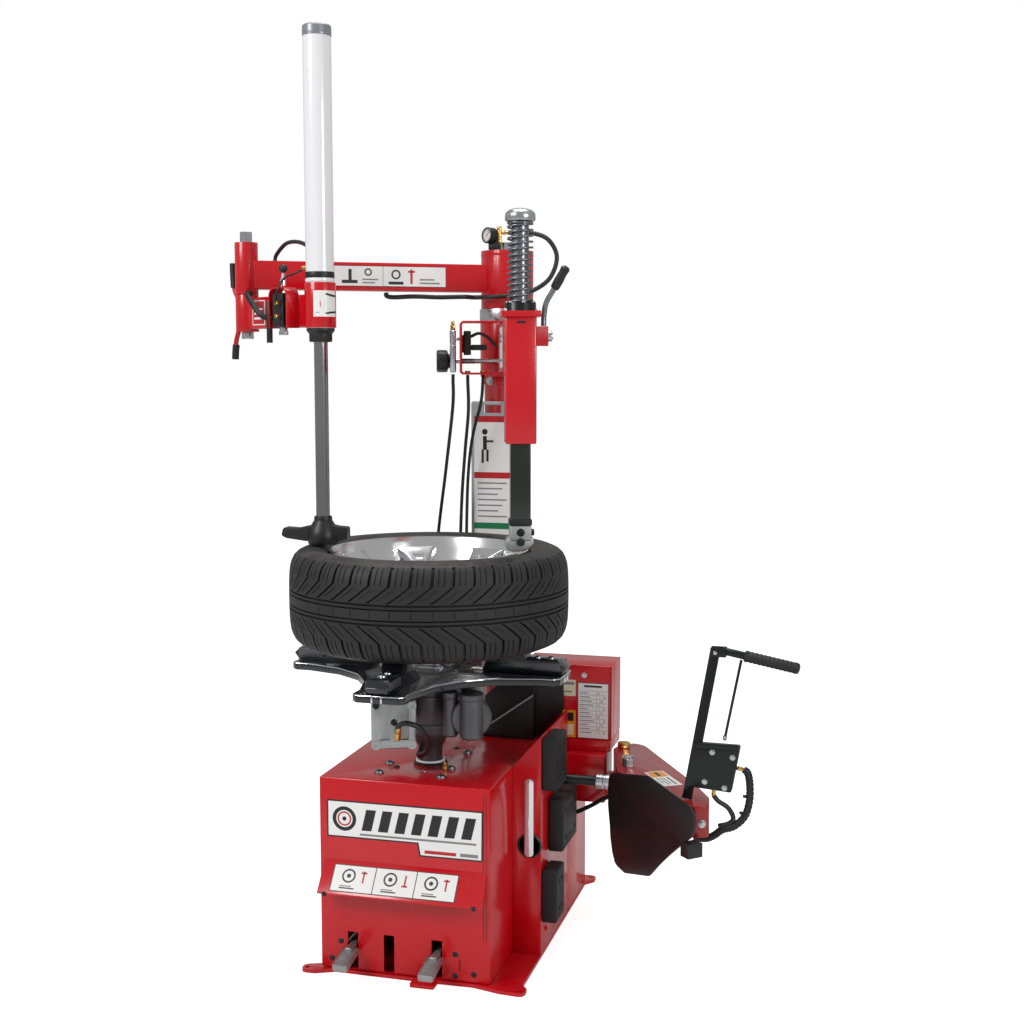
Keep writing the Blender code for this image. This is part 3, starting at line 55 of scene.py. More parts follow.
# ---------------------------------------------------------------- places and sizes shared with the CAD
GAP = 0.0005
SHEET = 0.003
CAB_FRONT, DECK = -0.1825, 0.4662
SIDE_RIGHT, SIDE_FRONT = 0.2707, 0.011
REAR_RIGHT, REAR_FRONT, REAR_TOP = 0.381, 0.300, 0.658
TYRE_MID, TYRE_HALF = 0.8775, 0.1135
STAR_TOP, STAR_THICK, STAR_R, STAR_TURN = 0.702, 0.018, 0.335, radians(-2)
CLAMP_TURN, CLAMP_OFFSET, CLAMP_MID = radians(21), 0.090, 0.600
COLUMN = Vector((0.072, 0.440, 0.0))
HEAD = Vector((0.235, -0.050, 0.0))
POST = Vector((-0.505, 0.100, 0.0))
PRESS, PRESS_TOP = Vector((-0.248, -0.050, 0.0)), 2.165
BEAD_PIVOT = Vector((0.411, 0.324, 0.0))
BLADE_START = Vector((0.424, 0.100, 0.0))
ROD_Y, ROD_Z, HANDLE_Y = 0.160, 0.402, -0.080
PEDAL_X = (-0.1325, 0.0725)
VALVE_ALONG = 0.204
MOUNT_HEAD_LOW = 0.9925
FILM_STEP, FILM = 0.00025, 0.0003          # lift of each printed layer and its thickness
MERGE = 0.00002


def about(place, towards=None, turn=0.0):
    """The frame of a long piece: its origin at one axis and its +X towards another."""
    if towards is not None:
        turn = atan2(towards.y - place.y, towards.x - place.x)
    return Matrix.Translation(place) @ Matrix.Rotation(turn, 4, "Z")


SWING, SWING_REACH = about(COLUMN, HEAD), hypot(HEAD.x - COLUMN.x, HEAD.y - COLUMN.y)
SWING_TURN = Matrix.Rotation(atan2(HEAD.y - COLUMN.y, HEAD.x - COLUMN.x), 4, "Z")
BEAM, LINK = about(COLUMN, POST), about(POST, PRESS)
BLADE = about(BLADE_START, turn=atan2(-0.733, 0.680))
FRONT_WALL = Matrix.Rotation(pi / 2, 4, "X")       # stands a flat outline up, facing -Y
RIGHT_WALL = Matrix.Rotation(pi / 2, 4, "Z") @ Matrix.Rotation(pi / 2, 4, "X")


# ---------------------------------------------------------------- shader groups
def new_group(name, numbers, results):
    """An empty shader group with number inputs and the named outputs."""
    tree = bpy.data.node_groups.new(name, "ShaderNodeTree")
    for label, value in numbers:
        socket = tree.interface.new_socket(label, in_out="INPUT", socket_type="NodeSocketFloat")
        socket.default_value = value
    for label in results:
        tree.interface.new_socket(label, in_out="OUTPUT", socket_type="NodeSocketFloat")
    return tree, tree.nodes.new("NodeGroupInput"), tree.nodes.new("NodeGroupOutput")


def node(tree, kind, settings=None, **links):
    """Adds a node, sets its properties and sockets, and links sockets named in links."""
    made = tree.nodes.new("ShaderNode" + kind)
    for key, value in (settings or {}).items():
        if hasattr(made, key):
            setattr(made, key, value)
        else:
            made.inputs[key].default_value = value
    for key, source in links.items():
        target = made.inputs[int(key[1:])] if key[1:].isdigit() else made.inputs[key.replace("_", " ")]
        tree.links.new(source, target)
    return made


def ramp(tree, source, low, high, out_low=0.0, out_high=1.0):
    """Maps a stretch of a value on to another, with its ends held."""
    made = node(tree, "MapRange", {"clamp": True}, s0=source)
    for index, value in ((1, low), (2, high), (3, out_low), (4, out_high)):
        made.inputs[index].default_value = value
    return made.outputs[0]


def times(tree, first, second):
    return node(tree, "Math", {"operation": "MULTIPLY"}, s0=first, s1=second).outputs[0]


def build_skin():
    """Broad patches and fine grain for any surface."""
    tree, given, result = new_group("skin", (("Patch Scale", 4.0), ("Grain Scale", 300.0)),
                                    ("Patch", "Grain"))
    place = node(tree, "TexCoord").outputs["Object"]
    broad = node(tree, "TexNoise", {"Detail": 4.0, "Roughness": 0.6}, Vector=place, Scale=given.outputs[0])
    fine = node(tree, "TexNoise", {"Detail": 3.0, "Roughness": 0.6}, Vector=place, Scale=given.outputs[1])
    tree.links.new(ramp(tree, broad.outputs["Fac"], 0.3, 0.7), result.inputs[0])
    tree.links.new(fine.outputs["Fac"], result.inputs[1])
    return tree


def build_dust():
    """Fine dust that settles on faces that look upwards."""
    tree, given, result = new_group("dust", (("Amount", 0.2),), ("Mask",))
    place = node(tree, "TexCoord").outputs["Object"]
    facing = node(tree, "SeparateXYZ", s0=node(tree, "NewGeometry").outputs["Normal"]).outputs[2]
    cloud = node(tree, "TexNoise", {"Scale": 18.0, "Detail": 6.0, "Roughness": 0.7}, Vector=place)
    speck = node(tree, "TexNoise", {"Scale": 420.0, "Detail": 2.0}, Vector=place)
    layer = times(tree, ramp(tree, facing, 0.25, 1.0), ramp(tree, cloud.outputs["Fac"], 0.35, 0.75))
    layer = times(tree, layer, ramp(tree, speck.outputs["Fac"], 0.30, 0.60, 0.45, 1.0))
    tree.links.new(times(tree, layer, given.outputs[0]), result.inputs[0])
    return tree


def build_scuffs():
    """Thin handling scratches in two directions."""
    tree, given, result = new_group("scuffs", (("Amount", 0.2), ("Scale", 1.0)), ("Mask",))
    place = node(tree, "TexCoord").outputs["Object"]
    layers = []
    for turn, squeeze in (((0.3, 0.5, 0.2), (9.0, 260.0, 9.0)), ((0.9, 0.1, 1.3), (320.0, 12.0, 12.0))):
        laid = node(tree, "Mapping", {"Rotation": turn, "Scale": squeeze}, Vector=place)
        lines = node(tree, "TexNoise", {"Detail": 1.0}, Vector=laid.outputs[0], Scale=given.outputs[1])
        layers.append(ramp(tree, lines.outputs["Fac"], 0.69, 0.74))
    both = node(tree, "Math", {"operation": "MAXIMUM"}, s0=layers[0], s1=layers[1]).outputs[0]
    tree.links.new(times(tree, both, given.outputs[0]), result.inputs[0])
    return tree


def build_brushing():
    """Fine parallel lines left by a tool or by drawing; the scales stretch them along one axis."""
    tree, given, result = new_group("brushing", (("Scale X", 40.0), ("Scale Y", 40.0), ("Scale Z", 1200.0)),
                                    ("Height",))
    place = node(tree, "TexCoord").outputs["Object"]
    split = node(tree, "SeparateXYZ", s0=place)
    scaled = [times(tree, split.outputs[axis], given.outputs[axis]) for axis in range(3)]
    laid = node(tree, "CombineXYZ", s0=scaled[0], s1=scaled[1], s2=scaled[2])
    lines = node(tree, "TexNoise", {"Scale": 1.0, "Detail": 2.0}, Vector=laid.outputs[0])
    tree.links.new(lines.outputs["Fac"], result.inputs[0])
    return tree


SKIN, DUST, SCUFFS, BRUSHING = build_skin(), build_dust(), build_scuffs(), build_brushing()


def use_group(tree, group, *values):
    made = tree.nodes.new("ShaderNodeGroup")
    made.node_tree = group
    for socket, value in zip(made.inputs, values):
        socket.default_value = value
    return made.outputs


def mix(tree, amount, first, second):
    """Mixes two colours; each is a colour or a socket."""
    made = tree.nodes.new("ShaderNodeMix")
    made.data_type = "RGBA"
    tree.links.new(amount, made.inputs[0])
    for index, value in ((6, first), (7, second)):
        if isinstance(value, tuple):
            made.inputs[index].default_value = (*value, 1.0)
        else:
            tree.links.new(value, made.inputs[index])
    return made.outputs[2]


def finish(name, colour, roughness, metallic=0.0, shade=0.88, spread=0.08, patch=5.0, grain=300.0,
           relief=0.02, relief_size=0.001, dust=0.10, scuff=0.08, brushed=None, coat=0.0):
    """A Principled material with patches, grain, dust, scratches and, where asked, brushing."""
    made = bpy.data.materials.new(name)
    made.use_nodes = True
    tree = made.node_tree
    shader = tree.nodes["Principled BSDF"]
    patches, fine = use_group(tree, SKIN, patch, grain)[:2]
    dusty = use_group(tree, DUST, dust)[0]
    scratched = use_group(tree, SCUFFS, scuff, 1.0)[0]
    base = mix(tree, patches, tuple(c * shade for c in colour), colour)
    base = mix(tree, scratched, base, tuple(min(1.0, c * 1.5 + 0.03) for c in colour))
    base = mix(tree, dusty, base, (0.42, 0.40, 0.37))
    tree.links.new(base, shader.inputs["Base Color"])
    rough = ramp(tree, patches, 0.0, 1.0, roughness - spread * 0.5, roughness + spread * 0.5)
    rough = node(tree, "Math", {"operation": "MULTIPLY_ADD", "use_clamp": True}, s0=scratched, s2=rough)
    rough.inputs[1].default_value = 0.30
    dulled = node(tree, "Math", {"operation": "MULTIPLY_ADD", "use_clamp": True}, s0=dusty,
                  s2=rough.outputs[0])
    dulled.inputs[1].default_value = 0.6
    tree.links.new(dulled.outputs[0], shader.inputs["Roughness"])
    shader.inputs["Metallic"].default_value = metallic
    shader.inputs["Coat Weight"].default_value = coat
    shader.inputs["Coat Roughness"].default_value = 0.06
    height = use_group(tree, BRUSHING, *brushed)[0] if brushed else fine
    bump = node(tree, "Bump", {"Strength": relief, "Distance": relief_size}, Height=height)
    tree.links.new(bump.outputs[0], shader.inputs["Normal"])
    return made


RED = finish("red powder coat", (0.560, 0.0015, 0.008), 0.24, shade=0.955, spread=0.04, patch=2.0,
             grain=420.0, relief=0.04, dust=0.035, scuff=0.03, coat=0.22)
DEEP_RED = finish("deep red powder coat", (0.330, 0.004, 0.008), 0.28, shade=0.85, grain=420.0, relief=0.05,
                  dust=0.06, scuff=0.04, coat=0.3)
BLACK = finish("black moulded plastic", (0.008, 0.008, 0.009), 0.42, shade=0.7, grain=700.0, relief=0.12,
               dust=0.12)
GLOSS_BLACK = finish("black gloss enamel", (0.006, 0.007, 0.010), 0.20, shade=0.7, relief=0.03, dust=0.05,
                     coat=0.5)
RUBBER = finish("black rubber", (0.010, 0.010, 0.011), 0.66, shade=0.7, grain=900.0, relief=0.18, dust=0.18)
HOSE = finish("hose rubber", (0.010, 0.010, 0.011), 0.45, shade=0.75, grain=1200.0, relief=0.10, dust=0.10)
TREAD = finish("tyre tread rubber", (0.0095, 0.0095, 0.0105), 0.58, shade=0.72, spread=0.14, patch=9.0,
               grain=900.0, relief=0.20, dust=0.14, scuff=0.04)
SIDEWALL = finish("tyre sidewall rubber", (0.008, 0.008, 0.009), 0.50, shade=0.75, patch=9.0, grain=1200.0,
                  relief=0.12, dust=0.16, scuff=0.05)
DARK_STEEL = finish("blackened steel", (0.014, 0.016, 0.016), 0.30, 0.45, shade=0.90, spread=0.05,
                    relief=0.03, dust=0.04, scuff=0.06)
GREEN_STEEL = finish("dark green bar enamel", (0.004, 0.011, 0.007), 0.22, 0.0, shade=0.92, spread=0.03,
                     relief=0.02, dust=0.03, scuff=0.04, coat=0.4)
ZINC = finish("zinc plate", (0.60, 0.61, 0.64), 0.26, 1.0, shade=0.84, spread=0.14, patch=30.0, grain=900.0,
              relief=0.06, dust=0.06, scuff=0.14)
GREY_STEEL = finish("grey spring steel", (0.23, 0.24, 0.26), 0.30, 0.9, shade=0.8, spread=0.12, patch=30.0,
                    dust=0.05)
# Chrome; on the star's top bevels and arm tips it is a painted highlight.
CHROME_AND_HIGHLIGHT = finish("chrome", (0.80, 0.80, 0.83), 0.07, 1.0, shade=0.92, spread=0.05, relief=0.01, dust=0.03,
                scuff=0.10)
# Chrome darkened for the piston rod: painted dark reflections, standing in for the dark surroundings the
# rod mirrors.
PAINTED_DARK_CHROME = finish("chrome rod with painted dark reflections", (0.36, 0.36, 0.38), 0.10, 1.0, shade=0.94, spread=0.04, relief=0.03,
                     dust=0.02, scuff=0.05, brushed=(40.0, 40.0, 900.0))
ALLOY = finish("polished alloy", (0.78, 0.78, 0.79), 0.20, 1.0, shade=0.94, spread=0.08, relief=0.02,
               dust=0.03, scuff=0.10)
CAST = finish("cast aluminium", (0.44, 0.45, 0.45), 0.44, 0.85, shade=0.80, spread=0.18, patch=22.0,
              grain=420.0, relief=0.35, dust=0.10, scuff=0.10)
DARK_CAST = finish("weathered casting", (0.15, 0.15, 0.16), 0.46, 0.8, shade=0.65, spread=0.18, patch=16.0,
                   grain=320.0, relief=0.4, dust=0.14, scuff=0.10)
BRASS = finish("brass", (0.74, 0.46, 0.14), 0.24, 1.0, shade=0.8, spread=0.14, patch=40.0, dust=0.04,
               scuff=0.10)
WHITE = finish("white enamel", (0.83, 0.83, 0.85), 0.16, shade=0.96, spread=0.05, relief=0.01, dust=0.05,
               scuff=0.02, coat=0.4)
GREY = finish("grey enamel", (0.27, 0.29, 0.31), 0.34, 0.3, shade=0.85, relief=0.04, dust=0.08, scuff=0.08)
# Silver grey for the sign plate; on the tray's top rail it is a painted highlight.
PANEL_GREY_AND_HIGHLIGHT = finish("silver grey panel and painted highlight", (0.46, 0.48, 0.50), 0.36, 0.4, shade=0.9, relief=0.03, dust=0.06)
STICKER = finish("white label film", (0.84, 0.84, 0.82), 0.32, shade=0.95, relief=0.01, dust=0.05,
                 scuff=0.03)
PALE = finish("cream label film", (0.80, 0.74, 0.52), 0.34, shade=0.93, relief=0.01, dust=0.05, scuff=0.03)
# Black ink for print; the slots on the cabinet and the swing arm housing use it as painted shade.
BLACK_INK_AND_SHADE = finish("black ink and painted shade", (0.012, 0.012, 0.014), 0.38, shade=0.8, relief=0.01, dust=0.05, scuff=0.02)
INK_RED = finish("red ink", (0.52, 0.010, 0.016), 0.36, shade=0.9, relief=0.01, dust=0.04, scuff=0.02)
INK_GREEN = finish("green ink", (0.010, 0.20, 0.075), 0.36, shade=0.9, relief=0.01, dust=0.04, scuff=0.02)
INK_GREY = finish("grey ink", (0.22, 0.23, 0.24), 0.38, shade=0.9, relief=0.01, dust=0.04, scuff=0.02)
AMBER = finish("amber ink", (0.78, 0.32, 0.012), 0.36, shade=0.92, relief=0.01, dust=0.04, scuff=0.02)


# ---------------------------------------------------------------- modelling helpers
def pick(*pieces):
    bpy.ops.object.select_all(action="DESELECT")
    for piece in pieces:
        piece.select_set(True)
    bpy.context.view_layer.objects.active = pieces[0]


def settle(piece):
    """Puts the object's own place, turn and size into its mesh."""
    pick(piece)
    bpy.ops.object.transform_apply(location=True, rotation=True, scale=True)
    return piece


def apply(piece, kind, **settings):
    """Adds one modifier with its settings and applies it."""
    step = piece.modifiers.new("step", kind)
    for key, value in settings.items():
        setattr(step, key, value)
    pick(piece)
    bpy.ops.object.modifier_apply(modifier=step.name)
    return piece


def round_edges(piece, width, segments=2, angle=35):
    if width:
        apply(piece, "BEVEL", width=width, segments=segments, limit_method="ANGLE",
              angle_limit=radians(angle), use_clamp_overlap=True)
    return piece


def move(piece, matrix):
    piece.data.transform(matrix)
    return piece


def block(low, high, edge=0.0015, segments=2):
    """A rectangular piece between two corners with rounded edges."""
    low, high = Vector(low), Vector(high)
    bpy.ops.mesh.primitive_cube_add(size=1.0, location=(low + high) / 2, scale=high - low)
    return round_edges(settle(bpy.context.object), edge, segments)


def bar(start, end, radius, end_radius=None, sides=40, edge=0.0008):
    """A round or many-sided bar between two points, with rounded ends."""
    start, end = Vector(start), Vector(end)
    bpy.ops.mesh.primitive_cone_add(
        vertices=sides, radius1=radius, radius2=radius if end_radius is None else end_radius,
        depth=(end - start).length, location=(start + end) / 2,
        rotation=(end - start).to_track_quat("Z", "Y").to_euler())
    return round_edges(settle(bpy.context.object), edge, 2, 40)


def outline_face(outline, fill):
    """A ring of points, filled or not, from a circle whose points are moved into place."""
    bpy.ops.mesh.primitive_circle_add(vertices=len(outline), fill_type="NGON" if fill else "NOTHING")
    piece = bpy.context.object
    for point, place in zip(piece.data.vertices, outline):
        point.co = place
    return piece


def turned(profile, at=(0, 0, 0), towards=(0, 0, 1), sides=64):
    """A turned solid from a (radius, height) profile; one that ends on the axis is closed there."""
    piece = outline_face([(radius, 0.0, height) for radius, height in profile], False)
    bpy.ops.object.mode_set(mode="EDIT")
    bpy.ops.mesh.select_all(action="SELECT")
    bpy.ops.mesh.spin(steps=sides, angle=2 * pi, center=(0, 0, 0), axis=(0, 0, 1))
    bpy.ops.mesh.select_all(action="SELECT")
    bpy.ops.mesh.remove_doubles(threshold=MERGE)
    bpy.ops.mesh.delete_loose(use_verts=True, use_edges=True, use_faces=False)
    bpy.ops.mesh.select_all(action="SELECT")
    bpy.ops.mesh.normals_make_consistent(inside=False)
    bpy.ops.object.mode_set(mode="OBJECT")
    turn = Vector(towards).to_track_quat("Z", "Y").to_matrix().to_4x4()
    return move(piece, Matrix.Translation(Vector(at)) @ turn)


def cut_sheet(outline, thickness, edge=0.0008, segments=2):
    """A flat outline in the XY plane pushed up to a thickness, with rounded edges."""
    piece = outline_face([(x, y, 0.0) for x, y in outline], True)
    bpy.ops.object.mode_set(mode="EDIT")
    bpy.ops.mesh.select_all(action="SELECT")
    bpy.ops.mesh.extrude_region_move(TRANSFORM_OT_translate={"value": (0, 0, thickness)})
    bpy.ops.mesh.select_all(action="SELECT")
    bpy.ops.mesh.normals_make_consistent(inside=False)
    bpy.ops.object.mode_set(mode="OBJECT")
    return round_edges(piece, edge, segments)


def smooth_route(stops, count):
    """Points of a smooth curve through the stops."""
    stops = [Vector(stop) for stop in stops]
    padded = [2 * stops[0] - stops[1]] + stops + [2 * stops[-1] - stops[-2]]
    points = []
    spans = len(stops) - 1
    for index in range(count):
        place = index * spans / (count - 1)
        span = min(int(place), spans - 1)
        t = place - span
        a, b, c, d = padded[span:span + 4]
        points.append(0.5 * ((2 * b) + (c - a) * t + (2 * a - 5 * b + 4 * c - d) * t ** 2
                             + (3 * b - a - 3 * c + d) * t ** 3))
    return points


def tube(points, radius, roundness=3):
    """A hose, wire or bent bar along the points, as a mesh with closed ends."""
    data = bpy.data.curves.new("route", "CURVE")
    data.dimensions = "3D"
    data.bevel_depth = radius
    data.bevel_resolution = roundness
    data.use_fill_caps = True
    line = data.splines.new("POLY")
    line.points.add(len(points) - 1)
    for point, place in zip(line.points, points):
        point.co = (*place, 1.0)
    piece = bpy.data.objects.new("route", data)
    bpy.context.scene.collection.objects.link(piece)
    pick(piece)
    bpy.ops.object.convert(target="MESH")
    piece = bpy.context.object
    bpy.ops.object.mode_set(mode="EDIT")
    bpy.ops.mesh.select_all(action="SELECT")
    bpy.ops.mesh.remove_doubles(threshold=MERGE)
    bpy.ops.object.mode_set(mode="OBJECT")
    return piece


def carve(piece, *cutters):
    """Cuts each cutter out of the piece."""
    for cutter in cutters:
        apply(piece, "BOOLEAN", operation="DIFFERENCE", solver="EXACT", object=cutter)
        bpy.data.objects.remove(cutter, do_unlink=True)
    return piece


def coat(piece, material):
    piece.data.materials.clear()
    piece.data.materials.append(material)
    return piece


def join(*parts):
    """Makes one object of several; each keeps its own finish."""
    parts = [part for part in parts if part is not None]
    if len(parts) > 1:
        pick(*parts)
        bpy.ops.object.join()
    return parts[0]


def copy_of(piece, matrix=None):
    made = piece.copy()
    made.data = piece.data.copy()
    bpy.context.scene.collection.objects.link(made)
    if matrix is not None:
        made.data.transform(matrix)
    return made


def ring_of(piece, count, centre=Vector((0, 0, 0)), start=0.0):
    """The piece and its copies, turned evenly about an upright axis."""
    made = []
    for number in range(count):
        turn = Matrix.Rotation(start + number * 2 * pi / count, 4, "Z")
        made.append(copy_of(piece, Matrix.Translation(centre) @ turn @ Matrix.Translation(-centre)))
    bpy.data.objects.remove(piece, do_unlink=True)
    return made


def place(piece, name, body, slot, *nodes, angle=32):
    """Names a finished piece, smooths it, hands it to its body and hides the CAD nodes it replaces; the
    material slot is not used.
    """
    settle(piece)
    piece.name = name
    piece.data.name = name
    pick(piece)
    bpy.ops.object.shade_smooth_by_angle(angle=radians(angle))
    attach(piece, body)
    if nodes:
        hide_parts(*nodes)
    return piece


def from_cad(name, edge=0.0012, segments=2, angle=30):
    """A merged copy of a CAD node with its edges rounded, to be finished as a piece of its own."""
    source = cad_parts[name]
    piece = source.copy()
    piece.data = source.data.copy()
    for key in list(piece.keys()):
        del piece[key]
    bpy.context.scene.collection.objects.link(piece)
    piece.parent = None
    piece.matrix_world = Matrix.Identity(4)
    pick(piece)
    bpy.ops.object.mode_set(mode="EDIT")
    bpy.ops.mesh.select_all(action="SELECT")
    bpy.ops.mesh.remove_doubles(threshold=0.00001)
    bpy.ops.mesh.dissolve_limited(angle_limit=radians(2))
    bpy.ops.object.mode_set(mode="OBJECT")
    bpy.ops.mesh.customdata_custom_splitnormals_clear()
    return round_edges(piece, edge, segments, angle)


def smooth_all_over(piece, name):
    """Names a hose or a spring and smooths it."""
    piece.name = name
    piece.data.name = name
    pick(piece)
    bpy.ops.object.shade_smooth()


def facing(point, direction, size=1.0):
    """The frame of a fastener that stands on a surface at a point, pointing out of it."""
    turn = Vector(direction).to_track_quat("Z", "Y").to_matrix().to_4x4()
    return Matrix.Translation(Vector(point)) @ turn @ Matrix.Scale(size, 4)


def hex_bolt():
    """A hexagon bolt head on a washer, 20 mm across."""
    washer = turned([(0.000, 0.0015), (0.0098, 0.0015), (0.0102, 0.0011), (0.0102, 0.0), (0.000, 0.0)],
                    sides=24)
    head = bar((0, 0, 0.0012), (0, 0, 0.0070), 0.0078, sides=6, edge=0.0006)
    crown = turned([(0.000, 0.0076), (0.0056, 0.0076), (0.0066, 0.0066), (0.000, 0.0066)], sides=24)
    return join(washer, head, crown)


def socket_screw():
    """A button-head screw with a hexagon recess, 16 mm across."""
    head = turned([(0.000, 0.0048), (0.0046, 0.0048), (0.0066, 0.0036), (0.0078, 0.0012), (0.0078, 0.0),
                   (0.000, 0.0)], sides=24)
    return carve(head, bar((0, 0, 0.0020), (0, 0, 0.0080), 0.0032, sides=6, edge=0))


def push_rivet():
    """A black plastic push rivet with a raised centre, 14 mm across."""
    return turned([(0.000, 0.0030), (0.0026, 0.0030), (0.0030, 0.0022), (0.0056, 0.0016), (0.0068, 0.0004),
                   (0.0068, 0.0), (0.000, 0.0)], sides=24)


def fasteners(pattern, spots, material):
    """Copies of one fastener at (point, direction, size) spots, joined."""
    pattern = coat(pattern, material)
    made = [copy_of(pattern, facing(*spot)) for spot in spots]
    bpy.data.objects.remove(pattern, do_unlink=True)
    return join(*made)


def decal(matrix, patches):
    """Printed film on a flat surface: (x0, y0, x1, y1, layer, ink) patches in the frame's XY plane."""
    made = []
    for x0, y0, x1, y1, layer, ink in patches:
        lift = FILM_STEP * layer
        made.append(coat(block((x0, y0, lift), (x1, y1, lift + FILM), 0), ink))
    return move(join(*made), matrix)


def disc(x, y, radius, layer, ink, inner=0.0, matrix=None):
    """A printed dot or ring for a decal."""
    low, high = FILM_STEP * layer, FILM_STEP * layer + FILM
    made = coat(turned([(radius, high), (radius, low), (inner, low), (inner, high)], (x, y, 0), sides=28),
                ink)
    return move(made, matrix) if matrix is not None else made


# ---------------------------------------------------------------- camera, floor and light
def floor_finish():
    """Plain white floor that keeps its soft shadows and meets a white backdrop without a line."""
    pale = bpy.data.materials.new("pale floor")
    pale.use_nodes = True
    tree = pale.node_tree
    shader = tree.nodes["Principled BSDF"]
    shader.inputs["Base Color"].default_value = (0.80, 0.80, 0.80, 1.0)
    shader.inputs["Roughness"].default_value = 0.8
    shader.inputs["Emission Color"].default_value = (1.0, 1.0, 1.0, 1.0)
    seen = tree.nodes.new("ShaderNodeLightPath").outputs["Is Camera Ray"]
    tree.links.new(ramp(tree, seen, 0.0, 1.0, 0.0, 0.72), shader.inputs["Emission Strength"])
    return pale


def build_studio():
    lens = bpy.data.cameras.new("studio camera")
    lens.lens, lens.sensor_width, lens.clip_end = 50.5, 36.0, 60.0
    camera = bpy.data.objects.new("studio camera", lens)
    bpy.context.scene.collection.objects.link(camera)
    camera.location = (1.0612, -3.2091, 1.4158)
    camera.rotation_euler = (radians(84.15), 0.0, radians(14.98))
    bpy.context.scene.camera = camera

    bpy.ops.mesh.primitive_plane_add(size=40.0, location=(0, 0, -0.0006))
    floor = bpy.context.object
    floor.name = "studio_floor"
    coat(floor, floor_finish())

    sky = bpy.data.worlds.new("studio")
    sky.use_nodes = True
    tree = sky.node_tree
    tree.nodes["Background"].inputs["Color"].default_value = (1.0, 1.0, 1.0, 1.0)
    seen = tree.nodes.new("ShaderNodeLightPath").outputs["Is Camera Ray"]
    tree.links.new(ramp(tree, seen, 0.0, 1.0, 0.42, 1.0), tree.nodes["Background"].inputs["Strength"])
    bpy.context.scene.world = sky
    for name, place_at, aim, size, power in (
            ("key", (-2.6, -3.4, 3.6), (0.0, 0.0, 0.9), 1.6, 120.0),
            ("fill", (3.6, -2.2, 2.2), (0.2, 0.0, 0.9), 1.2, 50.0),
            ("top", (0.0, 0.4, 4.4), (0.0, 0.1, 0.8), 2.0, 60.0)):
        light = bpy.data.lights.new(name, "AREA")
        light.energy, light.size = power, size
        lamp = bpy.data.objects.new(name, light)
        bpy.context.scene.collection.objects.link(lamp)
        lamp.location = place_at
        lamp.rotation_euler = (Vector(aim) - Vector(place_at)).to_track_quat("-Z", "Y").to_euler()
    bpy.context.scene.view_settings.view_transform = "Standard"


# ---------------------------------------------------------------- tyre and rim
TREAD_PITCHES = 44
PITCH_ROWS = (0.00, 0.025, 0.125, 0.15, 0.34, 0.355, 0.385, 0.40, 0.62, 0.635, 0.665, 0.68, 0.84)
GROOVE_ROWS, SIPE_ROWS = (1, 2), (5, 6, 9, 10)
TREAD_DEPTH = 0.0070


def section(t):
    """Radius and height of the tyre's outside: t is 0 at the middle, 1 at the shoulder, 2 at the bead."""
    stops = ((0.0, 0.3300, 0.000), (0.30, 0.3297, 0.032), (0.55, 0.3285, 0.058), (0.74, 0.3258, 0.0775),
             (0.88, 0.3195, 0.0935), (1.00, 0.3085, 0.1040), (1.25, 0.2920, 0.1110), (1.50, 0.2750, 0.1133),
             (1.75, 0.2560, 0.1110), (1.90, 0.2455, 0.1050), (2.00, 0.2400, 0.0995))
    for (t0, r0, z0), (t1, r1, z1) in zip(stops, stops[1:]):
        if t <= t1:
            mixed = (t - t0) / (t1 - t0)
            return r0 + (r1 - r0) * mixed, z0 + (z1 - z0) * mixed
    return stops[-1][1:]


def groove_depth(v, row):
    """How deep the tread is cut at a place across it, 0 to 1 from the middle, on one row of a pitch."""
    if 0.105 <= v <= 0.125 or 0.185 <= v <= 0.215:
        return TREAD_DEPTH
    if 0.235 < v < 0.985 and row in GROOVE_ROWS:
        return TREAD_DEPTH * (1.0 if v < 0.9 else 0.7)
    if 0.60 < v < 0.95 and row in SIPE_ROWS:
        return 0.0022
    if 0.30 < v < 0.56 and row in (7, 8):
        return 0.0018
    if v < 0.09 and row in (5, 6):
        return 0.0014
    return 0.0


def lead(v):
    """How far round, in pitches, the slanted grooves have moved on at a place across the tread."""
    if v < 0.20:
        return 0.0
    if v < 0.60:
        return 1.25 * ((v - 0.20) / 0.40) ** 0.85
    return 1.25 + 0.10 * min(1.0, (v - 0.60) / 0.4)


